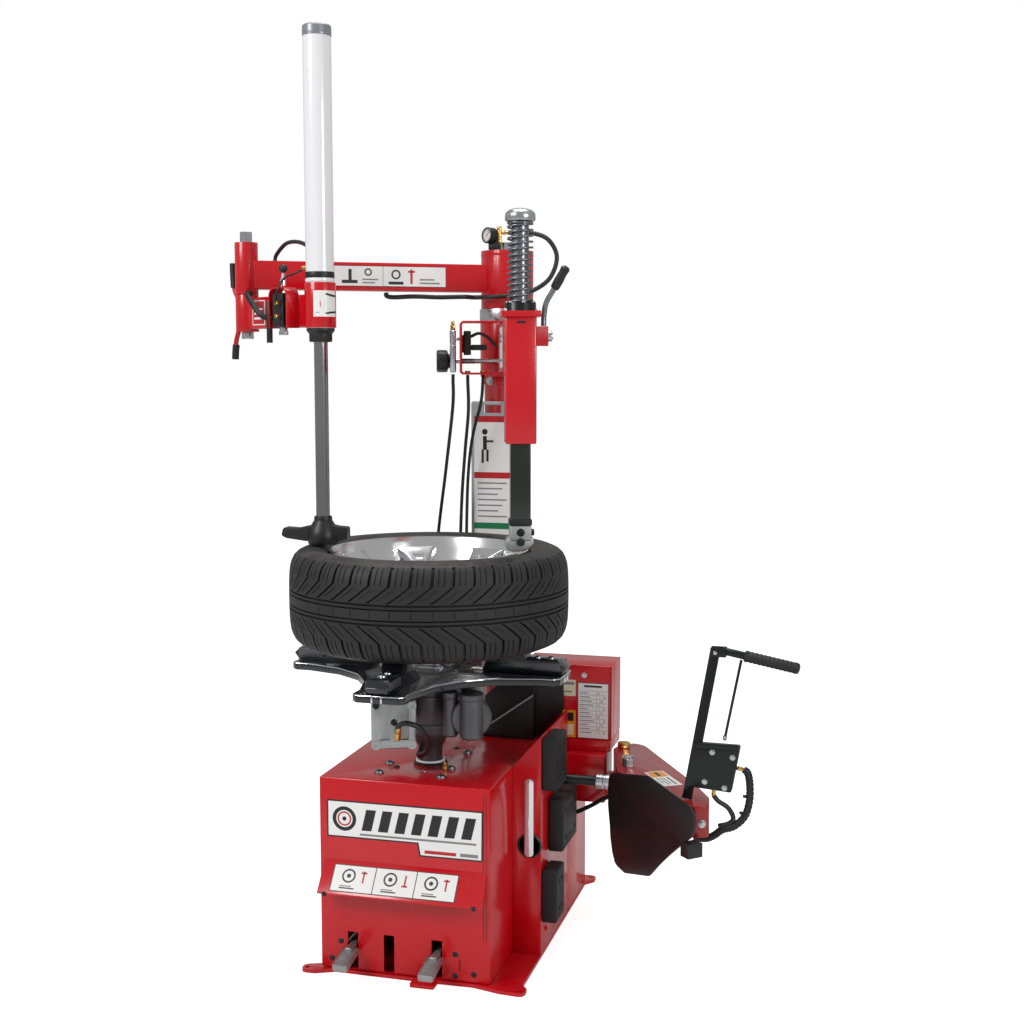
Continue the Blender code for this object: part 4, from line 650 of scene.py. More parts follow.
def build_tyre():
    """Ribbed and grooved tread, shoulders and sidewalls from one grid wrapped into a ring."""
    half = [0.0, 0.06, 0.095, 0.105, 0.125, 0.133, 0.16, 0.178, 0.185, 0.215, 0.222, 0.235, 0.255, 0.32,
            0.38, 0.44, 0.50, 0.56, 0.60, 0.62, 0.70, 0.80, 0.90, 0.94, 0.965, 0.99, 1.06, 1.14, 1.25, 1.32,
            1.36, 1.50, 1.62, 1.66, 1.75, 1.82, 1.90, 2.0]
    across = [-t for t in reversed(half[1:])] + half
    rows = TREAD_PITCHES * len(PITCH_ROWS)
    bpy.ops.mesh.primitive_grid_add(x_subdivisions=len(across) - 1, y_subdivisions=rows, size=2.0)
    piece = bpy.context.object
    wide = len(across)
    step = 2 * pi / TREAD_PITCHES
    for index, point in enumerate(piece.data.vertices):
        t = across[index % wide]
        row = index // wide
        pitch, inner_row = divmod(row, len(PITCH_ROWS))
        if row == rows:
            pitch, inner_row = 0, 0
        v = abs(t)
        angle = (pitch + PITCH_ROWS[inner_row] + lead(min(v, 1.0))
                 + (0.5 if t < 0 and v > 0.16 else 0.0)) * step
        radius, height = section(v)
        depth = groove_depth(v, inner_row) if v <= 1.0 else 0.0
        if 1.32 <= v <= 1.36 or 1.62 <= v <= 1.66:
            height += 0.0006
        if 1.06 <= v <= 1.14 and inner_row in (0, 3, 7, 11):
            depth = 0.0008
        radius -= depth
        point.co = (radius * cos(angle), radius * sin(angle), TYRE_MID + (height if t >= 0 else -height))
    bpy.ops.object.mode_set(mode="EDIT")
    bpy.ops.mesh.select_all(action="SELECT")
    bpy.ops.mesh.remove_doubles(threshold=MERGE)
    bpy.ops.mesh.normals_make_consistent(inside=False)
    bpy.ops.object.mode_set(mode="OBJECT")
    lining = turned([(0.2401, TYRE_HALF - 0.0140), (0.2480, TYRE_HALF - 0.020), (0.2750, TYRE_HALF - 0.018),
                     (0.3000, TYRE_HALF - 0.024), (0.3180, 0.050), (0.3200, 0.0), (0.3180, -0.050),
                     (0.3000, 0.024 - TYRE_HALF), (0.2750, 0.018 - TYRE_HALF), (0.2480, 0.020 - TYRE_HALF),
                     (0.2401, 0.0140 - TYRE_HALF), (0.2500, 0.010 - TYRE_HALF), (0.2900, 0.012 - TYRE_HALF),
                     (0.3220, -0.060), (0.3225, 0.060), (0.2900, TYRE_HALF - 0.012),
                     (0.2500, TYRE_HALF - 0.010)], (0, 0, TYRE_MID), sides=72)
    coat(piece, TREAD)
    piece.data.materials.append(SIDEWALL)
    for face in piece.data.polygons:
        radius = hypot(face.center.x, face.center.y)
        face.material_index = 1 if radius < 0.3085 and abs(face.center.z - TYRE_MID) > 0.09 else 0
    place(join(piece, coat(lining, SIDEWALL)), "tyre_casing", "turntable", "tyre_rubber", "tyre", angle=38)


def build_rim():
    """Polished alloy wheel: barrel with stepped flanges, seven dished spokes, hub and bolt holes."""
    top = TYRE_HALF - 0.0060
    outer = [(0.2280, top), (0.2330, top), (0.2352, top - 0.002), (0.2352, top - 0.006),
             (0.2320, top - 0.009), (0.2300, top - 0.012), (0.2385, top - 0.018), (0.2385, top - 0.036),
             (0.2170, top - 0.050), (0.2140, top - 0.070), (0.2120, -top + 0.070), (0.2170, -top + 0.040),
             (0.2385, -top + 0.030), (0.2385, -top + 0.016), (0.2300, -top + 0.012), (0.2350, -top + 0.006),
             (0.2350, -top), (0.2280, -top)]
    inner = [(0.2230, -top + 0.010), (0.2200, -top + 0.030), (0.2085, -top + 0.055), (0.2075, top - 0.075),
             (0.2110, top - 0.052), (0.2190, top - 0.034), (0.2215, top - 0.012)]
    barrel = turned(outer + inner, (0, 0, TYRE_MID), sides=128)
    dish = TYRE_MID + 0.026
    spoke = cut_sheet([(0.050, -0.026), (0.100, -0.019), (0.160, -0.022), (0.200, -0.040), (0.213, -0.050),
                       (0.2130, 0.050), (0.200, 0.040), (0.160, 0.022), (0.100, 0.019), (0.050, 0.026)],
                      0.024, 0.004, 3)
    hollow = cut_sheet([(0.105, -0.008), (0.175, -0.010), (0.188, -0.016), (0.188, 0.016), (0.175, 0.010),
                        (0.105, 0.008)], 0.020, 0.003, 2)
    carve(spoke, move(hollow, Matrix.Translation((0, 0, 0.0135))))
    for point in spoke.data.vertices:
        reach = (hypot(point.co.x, point.co.y) - 0.05) / 0.16
        point.co.z += 0.050 * reach * reach - 0.006
    spokes = ring_of(move(spoke, Matrix.Translation((0, 0, dish - 0.012))), 7, start=radians(14))
    centre = turned([(0.030, 0.012), (0.056, 0.012), (0.070, 0.006), (0.072, -0.012), (0.066, -0.030),
                     (0.030, -0.030)], (0, 0, dish), sides=96)
    holes = [bar((0.050 * cos(a), 0.050 * sin(a), dish - 0.05),
                 (0.050 * cos(a), 0.050 * sin(a), dish + 0.05), 0.0075, sides=20, edge=0)
             for a in (2 * pi * k / 5 for k in range(5))]
    carve(centre, *holes)
    valve = join(coat(bar((0.2140, 0.030, dish - 0.01), (0.190, 0.027, dish + 0.036), 0.0040), BRASS),
                 coat(bar((0.193, 0.0274, dish + 0.030), (0.187, 0.0266, dish + 0.042), 0.0052, sides=16),
                      BLACK))
    place(join(coat(join(barrel, centre, *spokes), ALLOY), valve), "alloy_rim", "turntable",
          "polished_alloy", "rim", angle=30)


def paint(piece, material, test):
    """Gives another finish to the faces whose middle passes the test."""
    piece.data.materials.append(material)
    for face in piece.data.polygons:
        if test(face.center):
            face.material_index = len(piece.data.materials) - 1
    return piece


def near(point, centre, radius):
    return hypot(point.x - centre.x, point.y - centre.y) < radius


# ---------------------------------------------------------------- cabinet
def build_cabinet():
    seams = [coat(block((x, CAB_FRONT - 0.0004, 0.110), (x + 0.0012, CAB_FRONT + 0.001, 0.455), 0),
                  BLACK_INK_AND_SHADE) for x in (0.184, 0.191)]
    # The black slot is painted shade: a dark strip stands for the shadowed opening.
    slot = coat(block((0.126, CAB_FRONT - 0.0004, 0.034), (0.129, CAB_FRONT + 0.001, 0.062), 0), BLACK_INK_AND_SHADE)
    rivets = fasteners(push_rivet(), [((x, CAB_FRONT, z), (0, -1, 0), 1.0) for x, z in (
        (-0.162, 0.076), (-0.185, 0.032), (0.117, 0.073), (0.117, 0.022), (0.161, 0.030))], BLACK)
    deck = fasteners(socket_screw(), [((x, y, DECK), (0, 0, 1), 1.45) for x, y in (
        (-0.088, -0.119), (-0.090, -0.040), (0.064, -0.043), (0.065, -0.120), (0.062, 0.099))], GREY_STEEL)
    plugs = fasteners(push_rivet(), [((x, y, DECK), (0, 0, 1), 1.2)
                                     for x, y in ((-0.065, -0.060), (0.025, 0.133))], BLACK)
    boot = coat(turned([(0.0400, 0.003), (0.0400, 0), (0.0310, 0), (0.0310, 0.006), (0.0370, 0.006)],
                       (0, 0, DECK)), BLACK)
    shaft_ring = coat(turned([(0.0345, 0.010), (0.0360, 0.004), (0.0312, 0.004), (0.0312, 0.010)],
                             (0, 0, DECK)), WHITE)
    fitting = coat(join(bar((0.055, -0.060, DECK), (0.055, -0.060, DECK + 0.010), 0.0055, sides=6),
                        bar((0.055, -0.060, DECK + 0.010), (0.055, -0.060, DECK + 0.020), 0.0038)), BRASS)
    sockets = [coat(turned([(0.0105, 0.004), (0.0115, 0.0), (0.0048, 0.0), (0.0048, 0.012),
                            (0.0075, 0.012)], (x, y, DECK)), BLACK)
               for x, y in ((-0.098, 0.378), (-0.036, 0.358), (-0.017, 0.357))]
    place(join(coat(from_cad("cabinet_shell", 0.0012), RED), *seams, slot, rivets, deck, plugs, boot,
               shaft_ring, fitting, *sockets), "cabinet_body", "cabinet", "red_paint", "cabinet_shell")
    place(coat(from_cad("base_plate", 0.0015), RED), "floor_plate", "cabinet", "red_paint", "base_plate")
    for name, finish_used in (("gear_motor", GREY), ("gearbox", CAST), ("bead_cylinder", DARK_STEEL),
                              ("pedal_shaft", ZINC)):
        coat(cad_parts[name], finish_used)


def build_side_housing():
    collar = coat(turned([(0.0300, 0.0015), (0.0300, 0.0), (0.0255, 0.0), (0.0255, 0.0035),
                          (0.0275, 0.0035)], (0.243, SIDE_FRONT, 0.277), (0, -1, 0), 48), BLACK)
    bolts = fasteners(hex_bolt(), [((SIDE_RIGHT, y, 0.057), (1, 0, 0), 0.7) for y in (0.060, 0.215)], RED)
    unions = [coat(join(bar((SIDE_RIGHT, y, z), (SIDE_RIGHT + 0.006, y, z), 0.0095, sides=6),
                        turned([(0.0082, 0.006), (0.0082, 0.004), (0.0060, 0.004), (0.0060, 0.006)],
                               (SIDE_RIGHT, y, z), (1, 0, 0))), BRASS) for y, z in ((0.250, 0.285),)]
    guide = coat(turned([(0.0260, 0.004), (0.0280, 0.0), (0.0185, 0.0), (0.0185, 0.006), (0.0230, 0.006)],
                        (SIDE_RIGHT, ROD_Y, ROD_Z), (1, 0, 0), 48), BLACK)
    place(join(coat(from_cad("side_housing", 0.0012), RED), collar, bolts, guide, *unions),
          "side_box", "cabinet", "red_paint", "side_housing")
    for name in ("pad_upper", "pad_middle", "pad_lower"):
        low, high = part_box(name)
        screws = fasteners(socket_screw(), [((SIDE_RIGHT + 0.0262, y, z), (1, 0, 0), 0.6)
                                            for y in (low.y + 0.03, high.y - 0.03)
                                            for z in (low.z + 0.03, high.z - 0.03)], ZINC)
        place(join(coat(from_cad(name, 0.0015), RUBBER), screws), name + "_buffer", "cabinet",
              "black_rubber", name)
    place(coat(from_cad("tyre_lever", 0.0015, 3), CHROME_AND_HIGHLIGHT), "tyre_iron", "tyre_lever", "chrome",
          "tyre_lever")


def build_rear_housing():
    face = Matrix.Translation((0, REAR_FRONT - 0.0002, 0)) @ FRONT_WALL
    labels = [(0.256, 0.577, 0.290, 0.619, 0, PALE), (0.260, 0.606, 0.286, 0.613, 1, INK_GREY),
              (0.260, 0.586, 0.280, 0.590, 1, INK_GREY), (0.256, 0.470, 0.290, 0.540, 0, AMBER),
              (0.261, 0.512, 0.285, 0.534, 1, BLACK_INK_AND_SHADE), (0.261, 0.476, 0.285, 0.504, 1, PALE),
              (0.2955, 0.4695, 0.3755, 0.6135, 0, BLACK_INK_AND_SHADE), (0.297, 0.471, 0.374, 0.612, 1, STICKER),
              (0.312, 0.602, 0.358, 0.607, 2, BLACK_INK_AND_SHADE)]
    for row in range(11):
        height = 0.592 - row * 0.0102
        labels.append((0.299, height, 0.372, height + 0.0007, 2, INK_GREY))
        labels.append((0.347 + 0.0085 * (row * 2 % 3), height - 0.0068, 0.350 + 0.0085 * (row * 2 % 3),
                       height - 0.0032, 2, INK_RED))
        labels.append((0.301, height - 0.0062, 0.322 + 0.005 * (row % 4), height - 0.0040, 2, INK_GREY))
    for x in (0.344, 0.3525, 0.361):
        labels.append((x, 0.481, x + 0.0006, 0.5925, 2, INK_GREY))
    screws = fasteners(hex_bolt(), [((0.312, REAR_FRONT, 0.632), (0, -1, 0), 0.7)], ZINC)
    flange = coat(block((REAR_RIGHT - 0.001, REAR_FRONT - 0.001, DECK + 0.002),
                        (REAR_RIGHT + 0.002, REAR_FRONT + 0.020, REAR_TOP)), RED)
    place(join(coat(from_cad("rear_housing", 0.0012), RED), decal(face, labels), screws, flange),
          "rear_box", "cabinet", "red_paint", "rear_housing")
    shelf = block((SIDE_RIGHT + GAP, 0.2965, 0.4375), (0.3800, 0.4300, DECK), 0.0015)
    place(coat(shelf, RED), "rear_shelf", "cabinet", "red_paint")


def build_visor():
    slope = Matrix.Translation((0, -0.2352, 0.2092)) @ Matrix.Rotation(radians(50.46), 4, "X")
    patches = [(-0.171, 0.006, 0.130, 0.071, 0, BLACK_INK_AND_SHADE), (-0.169, 0.008, 0.128, 0.069, 1, STICKER),
               (-0.069, 0.008, -0.067, 0.069, 2, BLACK_INK_AND_SHADE), (0.030, 0.008, 0.032, 0.069, 2, BLACK_INK_AND_SHADE)]
    rings = []
    for centre, turn in ((-0.119, 0), (-0.018, 1), (0.080, 2)):
        patches += [(centre - 0.030, 0.014, centre + 0.006, 0.017, 2, BLACK_INK_AND_SHADE),
                    (centre - 0.030, 0.019, centre - 0.002, 0.0215, 2, INK_GREY),
                    (centre + 0.022, 0.030, centre + 0.026, 0.058, 2, INK_RED),
                    (centre + 0.017, 0.052 if turn != 1 else 0.030, centre + 0.031,
                     0.056 if turn != 1 else 0.034, 2, INK_RED)]
        rings += [disc(centre - 0.012, 0.045, 0.0165, 2, BLACK_INK_AND_SHADE, 0.0125, slope),
                  disc(centre - 0.012, 0.045, 0.0050, 2, BLACK_INK_AND_SHADE, 0.0, slope)]
    rivets = fasteners(push_rivet(), [((x, -0.2347, 0.2062), (0, -1, 0), 0.9) for x in (-0.182, 0.176)],
                       BLACK)
    place(join(coat(from_cad("front_visor", 0.0012), RED), decal(slope, patches), *rings, rivets),
          "pedal_visor", "cabinet", "red_paint", "front_visor")


def sign_outline(grow):
    return [(-0.193 - grow, 0.326 - grow), (0.027 - grow, 0.326 - grow), (0.032 - grow, 0.297 - grow),
            (0.183 + grow, 0.297 - grow), (0.184 + grow, 0.414 + grow), (-0.193 - grow, 0.414 + grow)]


def build_front_sign():
    """The big plate on the cabinet's front with plain stripes and a wheel symbol."""
    wall = Matrix.Translation((0, CAB_FRONT - 0.0001, 0)) @ FRONT_WALL
    border = coat(move(cut_sheet(sign_outline(0.0), 0.0006, 0), wall), BLACK_INK_AND_SHADE)
    panel = coat(move(cut_sheet(sign_outline(-0.0035), 0.0009, 0), wall), STICKER)
    marks = []
    for number in range(7):
        left = -0.108 + number * 0.040
        marks.append(coat(move(cut_sheet([(left, 0.346), (left + 0.024, 0.346), (left + 0.036, 0.396),
                                          (left + 0.012, 0.396)], 0.0012, 0), wall), BLACK_INK_AND_SHADE))
    patches = [(0.045, 0.305, 0.120, 0.3125, 4, INK_RED), (0.130, 0.305, 0.172, 0.3125, 4, INK_GREY),
               (-0.112, 0.334, 0.168, 0.3385, 4, INK_GREY)]
    wheel = [disc(-0.150, 0.371, 0.029, 4, BLACK_INK_AND_SHADE, 0.0205, wall),
             disc(-0.150, 0.371, 0.017, 4, INK_RED, 0.0135, wall),
             disc(-0.150, 0.371, 0.0050, 4, BLACK_INK_AND_SHADE, 0.0, wall)]
    place(join(border, panel, *marks, decal(wall, patches), *wheel), "front_sign", "cabinet", "white_paint")


def build_tower():
    # The grey rail along the tray's top edge is a painted highlight: a light line where the black tray's
    # edge catches the light.
    rail = coat(bar((0.0585, 0.2590, 0.4885), (0.1880, 0.2590, 0.5815), 0.0022, sides=12), PANEL_GREY_AND_HIGHLIGHT)
    place(join(coat(from_cad("tower_cover", 0.0012), BLACK), rail), "rear_tray", "cabinet", "black_plastic",
          "tower_cover")
    foot_bolts = fasteners(hex_bolt(), [((COLUMN.x + x, COLUMN.y + y, DECK + 0.0125), (0, 0, 1), 1.0)
                                        for x in (-0.064, 0.062) for y in (-0.062, 0.062)], ZINC)
    bead = coat(turned([(0.0600, 0.006), (0.0640, 0.0045), (0.0660, 0.0), (0.0590, 0.0)],
                       (COLUMN.x, COLUMN.y, DECK + 0.0120), sides=64), RED)
    stop_bolt = fasteners(hex_bolt(), [((COLUMN.x - 0.030, COLUMN.y - 0.0590, 1.3752), (-0.45, -0.89, 0),
                                        1.1)], ZINC)
    column = paint(coat(from_cad("column", 0.0012), RED), ZINC, lambda c: c.z > 1.5245)
    place(join(column, foot_bolts, bead, stop_bolt), "tower_column", "cabinet", "red_paint", "column")

    front = COLUMN.y - 0.060 - GAP - SHEET - 0.0001
    face = Matrix.Translation((0, front, 0)) @ FRONT_WALL
    patches = [(0.000, 0.972, 0.122, 1.284, 0, STICKER), (0.000, 1.268, 0.122, 1.284, 1, INK_RED),
               (0.000, 1.122, 0.122, 1.138, 1, INK_RED), (0.000, 0.990, 0.122, 1.006, 1, INK_GREEN),
               (0.024, 1.196, 0.034, 1.232, 2, BLACK_INK_AND_SHADE), (0.020, 1.162, 0.026, 1.197, 2, BLACK_INK_AND_SHADE),
               (0.033, 1.166, 0.039, 1.197, 2, BLACK_INK_AND_SHADE), (0.034, 1.216, 0.052, 1.221, 2, BLACK_INK_AND_SHADE)]
    for row in range(7):
        patches.append((0.010, 1.108 - row * 0.0145, 0.088 - 0.012 * (row % 3), 1.1115 - row * 0.0145, 2,
                        INK_GREY))
    sign = join(coat(from_cad("sign_plate", 0.0006), PANEL_GREY_AND_HIGHLIGHT), decal(face, patches),
                disc(0.029, 1.243, 0.0075, 2, BLACK_INK_AND_SHADE, 0.0, face))
    place(sign, "hanging_sign", "cabinet", "grey_paint", "sign_plate")


def build_pedals():
    """Die-cast pedals: lever, boss and a ribbed tread."""
    for name, x in zip(("pedal_left", "pedal_right"), PEDAL_X):
        tilt = Matrix.Translation((x, -0.190, 0.062)) @ Matrix.Rotation(radians(10), 4, "X")
        tread = block((-0.018, -0.082, -0.010), (0.018, 0.0, 0.0065), 0.004, 3)
        lip = block((-0.0175, -0.0815, 0.0030), (0.0175, -0.0770, 0.0080), 0.0015)
        ribs = [block((-0.0155, -0.0745 + row * 0.0062, 0.0050), (0.0155, -0.0720 + row * 0.0062, 0.0080),
                      0.0007) for row in range(11)]
        rails = [block((side - 0.0012, -0.078, 0.004), (side + 0.0012, -0.004, 0.0080), 0.0007)
                 for side in (-0.0163, 0.0163)]
        tread = move(join(tread, lip, *ribs, *rails), tilt)
        lever = block((x - 0.008, -0.215, 0.058), (x + 0.008, -0.032, 0.074), 0.003, 3)
        boss = turned([(0.018, 0.012), (0.018, -0.012), (0.0084, -0.012), (0.0084, 0.012)],
                      (x, -0.020, 0.075), (1, 0, 0))
        place(coat(join(tread, lever, boss), CAST), name + "_casting", name, "cast_metal", name)


# ---------------------------------------------------------------- turntable
def build_star():
    star = coat(from_cad("turntable_star", 0.0028, 3), GLOSS_BLACK)
    # Chrome on the top bevel faces, the arm tips and the tip lips is a painted highlight: bright lines on
    # the glossy black star.
    star.data.materials.append(CHROME_AND_HIGHLIGHT)
    for face in star.data.polygons:
        highlight_bevel = 0.15 < face.normal.z < 0.93 and face.center.z > STAR_TOP - 0.0035
        if highlight_bevel or hypot(face.center.x, face.center.y) > STAR_R + 0.0035:
            face.material_index = 1
    lips = [move(block((STAR_R - 0.004, side - 0.0022, STAR_TOP - 0.016),
                       (STAR_R + 0.0025, side + 0.0022, STAR_TOP - 0.001), 0.001),
                 Matrix.Rotation(STAR_TURN + arm * pi / 2, 4, "Z")) for arm in range(4)
            for side in (-0.011, 0.011)]
    star = join(star, *[coat(lip, CHROME_AND_HIGHLIGHT) for lip in lips])
    bolts = fasteners(socket_screw(), [((0.052 * cos(a), 0.052 * sin(a), STAR_TOP), (0, 0, 1), 1.3)
                                       for a in (STAR_TURN + pi / 4 + k * pi / 2 for k in range(4))], ZINC)
    place(join(star, bolts), "star_table", "turntable", "black_steel", "turntable_star")
    low = STAR_TOP - STAR_THICK - GAP
    hub = turned([(0.000, low), (0.066, low), (0.066, 0.664), (0.062, 0.660), (0.048, 0.652),
                  (0.045, 0.646), (0.045, 0.545), (0.043, 0.538), (0.036, 0.522), (0.0285, 0.505),
                  (0.028, 0.4765), (0.0200, 0.4765), (0.0200, 0.345), (0.000, 0.345)], sides=72)
    rings = [turned([(0.0475, 0.006), (0.0475, 0.0), (0.0430, 0.0), (0.0430, 0.006)], (0, 0, z))
             for z in (0.560, 0.628)]
    place(coat(join(hub, *rings), DARK_CAST), "table_hub", "turntable", "cast_metal", "turntable_hub")
    for name in ("jaw_right", "jaw_back", "jaw_left", "jaw_front"):
        facing_jaw = STAR_TURN + ("jaw_right", "jaw_back", "jaw_left", "jaw_front").index(name) * pi / 2
        spin = Matrix.Rotation(facing_jaw, 4, "Z")
        cheeks = [coat(move(block((0.262, side - 0.002, STAR_TOP + 0.010),
                                  (0.330, side + 0.002, STAR_TOP + 0.030), 0.0015), spin), DARK_CAST)
                  for side in (-0.027, 0.027)]
        screws = fasteners(socket_screw(), [(spin @ Vector((r, 0.0, STAR_TOP + 0.0345)), (0, 0, 1), 1.1)
                                            for r in (0.268, 0.300)], ZINC)
        place(join(coat(from_cad(name, 0.0022, 3), GLOSS_BLACK), *cheeks, screws), name + "_clamp", name,
              "black_steel", name)


def cylinder_parts():
    """One clamp cylinder along its own Y with the ribbed cap at the -Y end; made at the origin."""
    barrel = coat(turned([(0.000, 0.110), (0.0408, 0.110), (0.0408, -0.112), (0.000, -0.112)], (0, 0, 0),
                         (0, 1, 0), 72), GREY)
    head = coat(turned([(0.000, 0.118), (0.0440, 0.118), (0.0475, 0.114), (0.0475, 0.092), (0.0450, 0.088),
                        (0.0405, 0.086), (0.000, 0.086)], (0, 0, 0), (0, 1, 0), 72), DARK_CAST)
    cap = block((-0.052, -0.138, -0.064), (0.052, -0.112, 0.052), 0.007, 3)
    channels = [block((x, -0.145, -0.042), (x + 0.026, -0.1280, 0.060), 0.002) for x in (-0.034, 0.008)]
    carve(cap, *channels)
    ribs = [block((-0.050, -0.1385, z), (0.050, -0.1365, z + 0.004), 0.0008) for z in (-0.058, -0.048)]
    ears = [turned([(0.0105, 0.010), (0.0105, 0.0), (0.0050, 0.0), (0.0050, 0.010)], (x, -0.130, z),
                   (0, -1, 0), 32) for x, z in ((-0.041, -0.053), (0.041, -0.053), (0.041, 0.038))]
    collar = turned([(0.0450, -0.104), (0.0450, -0.114), (0.0400, -0.114), (0.0400, -0.104)], (0, 0, 0),
                    (0, 1, 0), 72)
    casting = coat(join(cap, *ribs, *ears, collar), CAST)
    screw = fasteners(socket_screw(), [((-0.041, -0.1382, 0.040), (0, -1, 0), 1.1),
                                       ((0.0, -0.1382, 0.0), (0, -1, 0), 1.0)], DARK_STEEL)
    tie_rods = [coat(bar((x, -0.120, z), (x, 0.108, z), 0.0032, sides=16), ZINC)
                for x, z in ((-0.0430, -0.016), (0.0430, -0.016))]
    hanger = coat(block((-0.018, -0.060, 0.030), (0.018, 0.0, STAR_TOP - STAR_THICK - GAP - CLAMP_MID),
                        0.003), DARK_CAST)
    film = coat(turned([(0.0412, -0.040), (0.0412, -0.085), (0.0405, -0.085), (0.0405, -0.040)], (0, 0, 0),
                       (0, 1, 0), 72), STICKER)
    stripes = [coat(turned([(0.0414, y), (0.0414, y - 0.004), (0.0405, y - 0.004), (0.0405, y)], (0, 0, 0),
                           (0, 1, 0), 72), BLACK_INK_AND_SHADE) for y in (-0.048, -0.060, -0.072)]
    return join(barrel, head, casting, screw, *tie_rods, hanger, film, *stripes)


def build_clamps():
    pattern = cylinder_parts()
    for name, side in (("clamp_cylinder_left", -1), ("clamp_cylinder_right", 1)):
        aside = Vector((cos(CLAMP_TURN), sin(CLAMP_TURN), 0)) * CLAMP_OFFSET * side
        centre = aside + Vector((0, 0, CLAMP_MID))
        spin = Matrix.Rotation(CLAMP_TURN + (pi if side > 0 else 0), 4, "Z")
        piece = copy_of(pattern, Matrix.Translation(centre) @ spin)
        if side > 0:
            cups = [coat(turned([(0.000, 0.108), (r - 0.004, 0.108), (r, 0.105), (r, 0.094),
                                 (r - 0.002, 0.091), (r - 0.002, 0.004), (r - 0.005, 0.0), (0.000, 0.0)],
                                (x, y, 0.5530), sides=40), DARK_CAST)
                    for x, y, r in ((0.073, -0.072, 0.0195), (0.126, -0.078, 0.0290))]
            piece = join(piece, *cups)
        place(piece, name + "_unit", "turntable", "cast_metal", name)
    bpy.data.objects.remove(pattern, do_unlink=True)
    stops = [(-0.022, -0.168, 0.578), (-0.018, -0.178, 0.596), (0.004, -0.184, 0.606),
             (0.030, -0.172, 0.594), (0.040, -0.146, 0.560), (0.030, -0.118, 0.526), (0.008, -0.096, 0.512),
             (-0.004, -0.066, 0.512), (-0.004, -0.042, 0.520)]
    hose = coat(tube(smooth_route(stops, 60), 0.0060, 4), HOSE)
    elbow = coat(join(bar((-0.026, -0.160, 0.560), (-0.022, -0.168, 0.582), 0.0078, sides=6),
                      bar((-0.022, -0.168, 0.578), (-0.019, -0.176, 0.594), 0.0068, sides=20)), BRASS)
    plug = coat(bar((0.016, -0.100, 0.514), (0.003, -0.086, 0.509), 0.0070, 0.0110, sides=24), BLACK)
    place(join(hose, elbow, plug), "clamp_air_line", "turntable", "black_rubber", "clamp_hose")


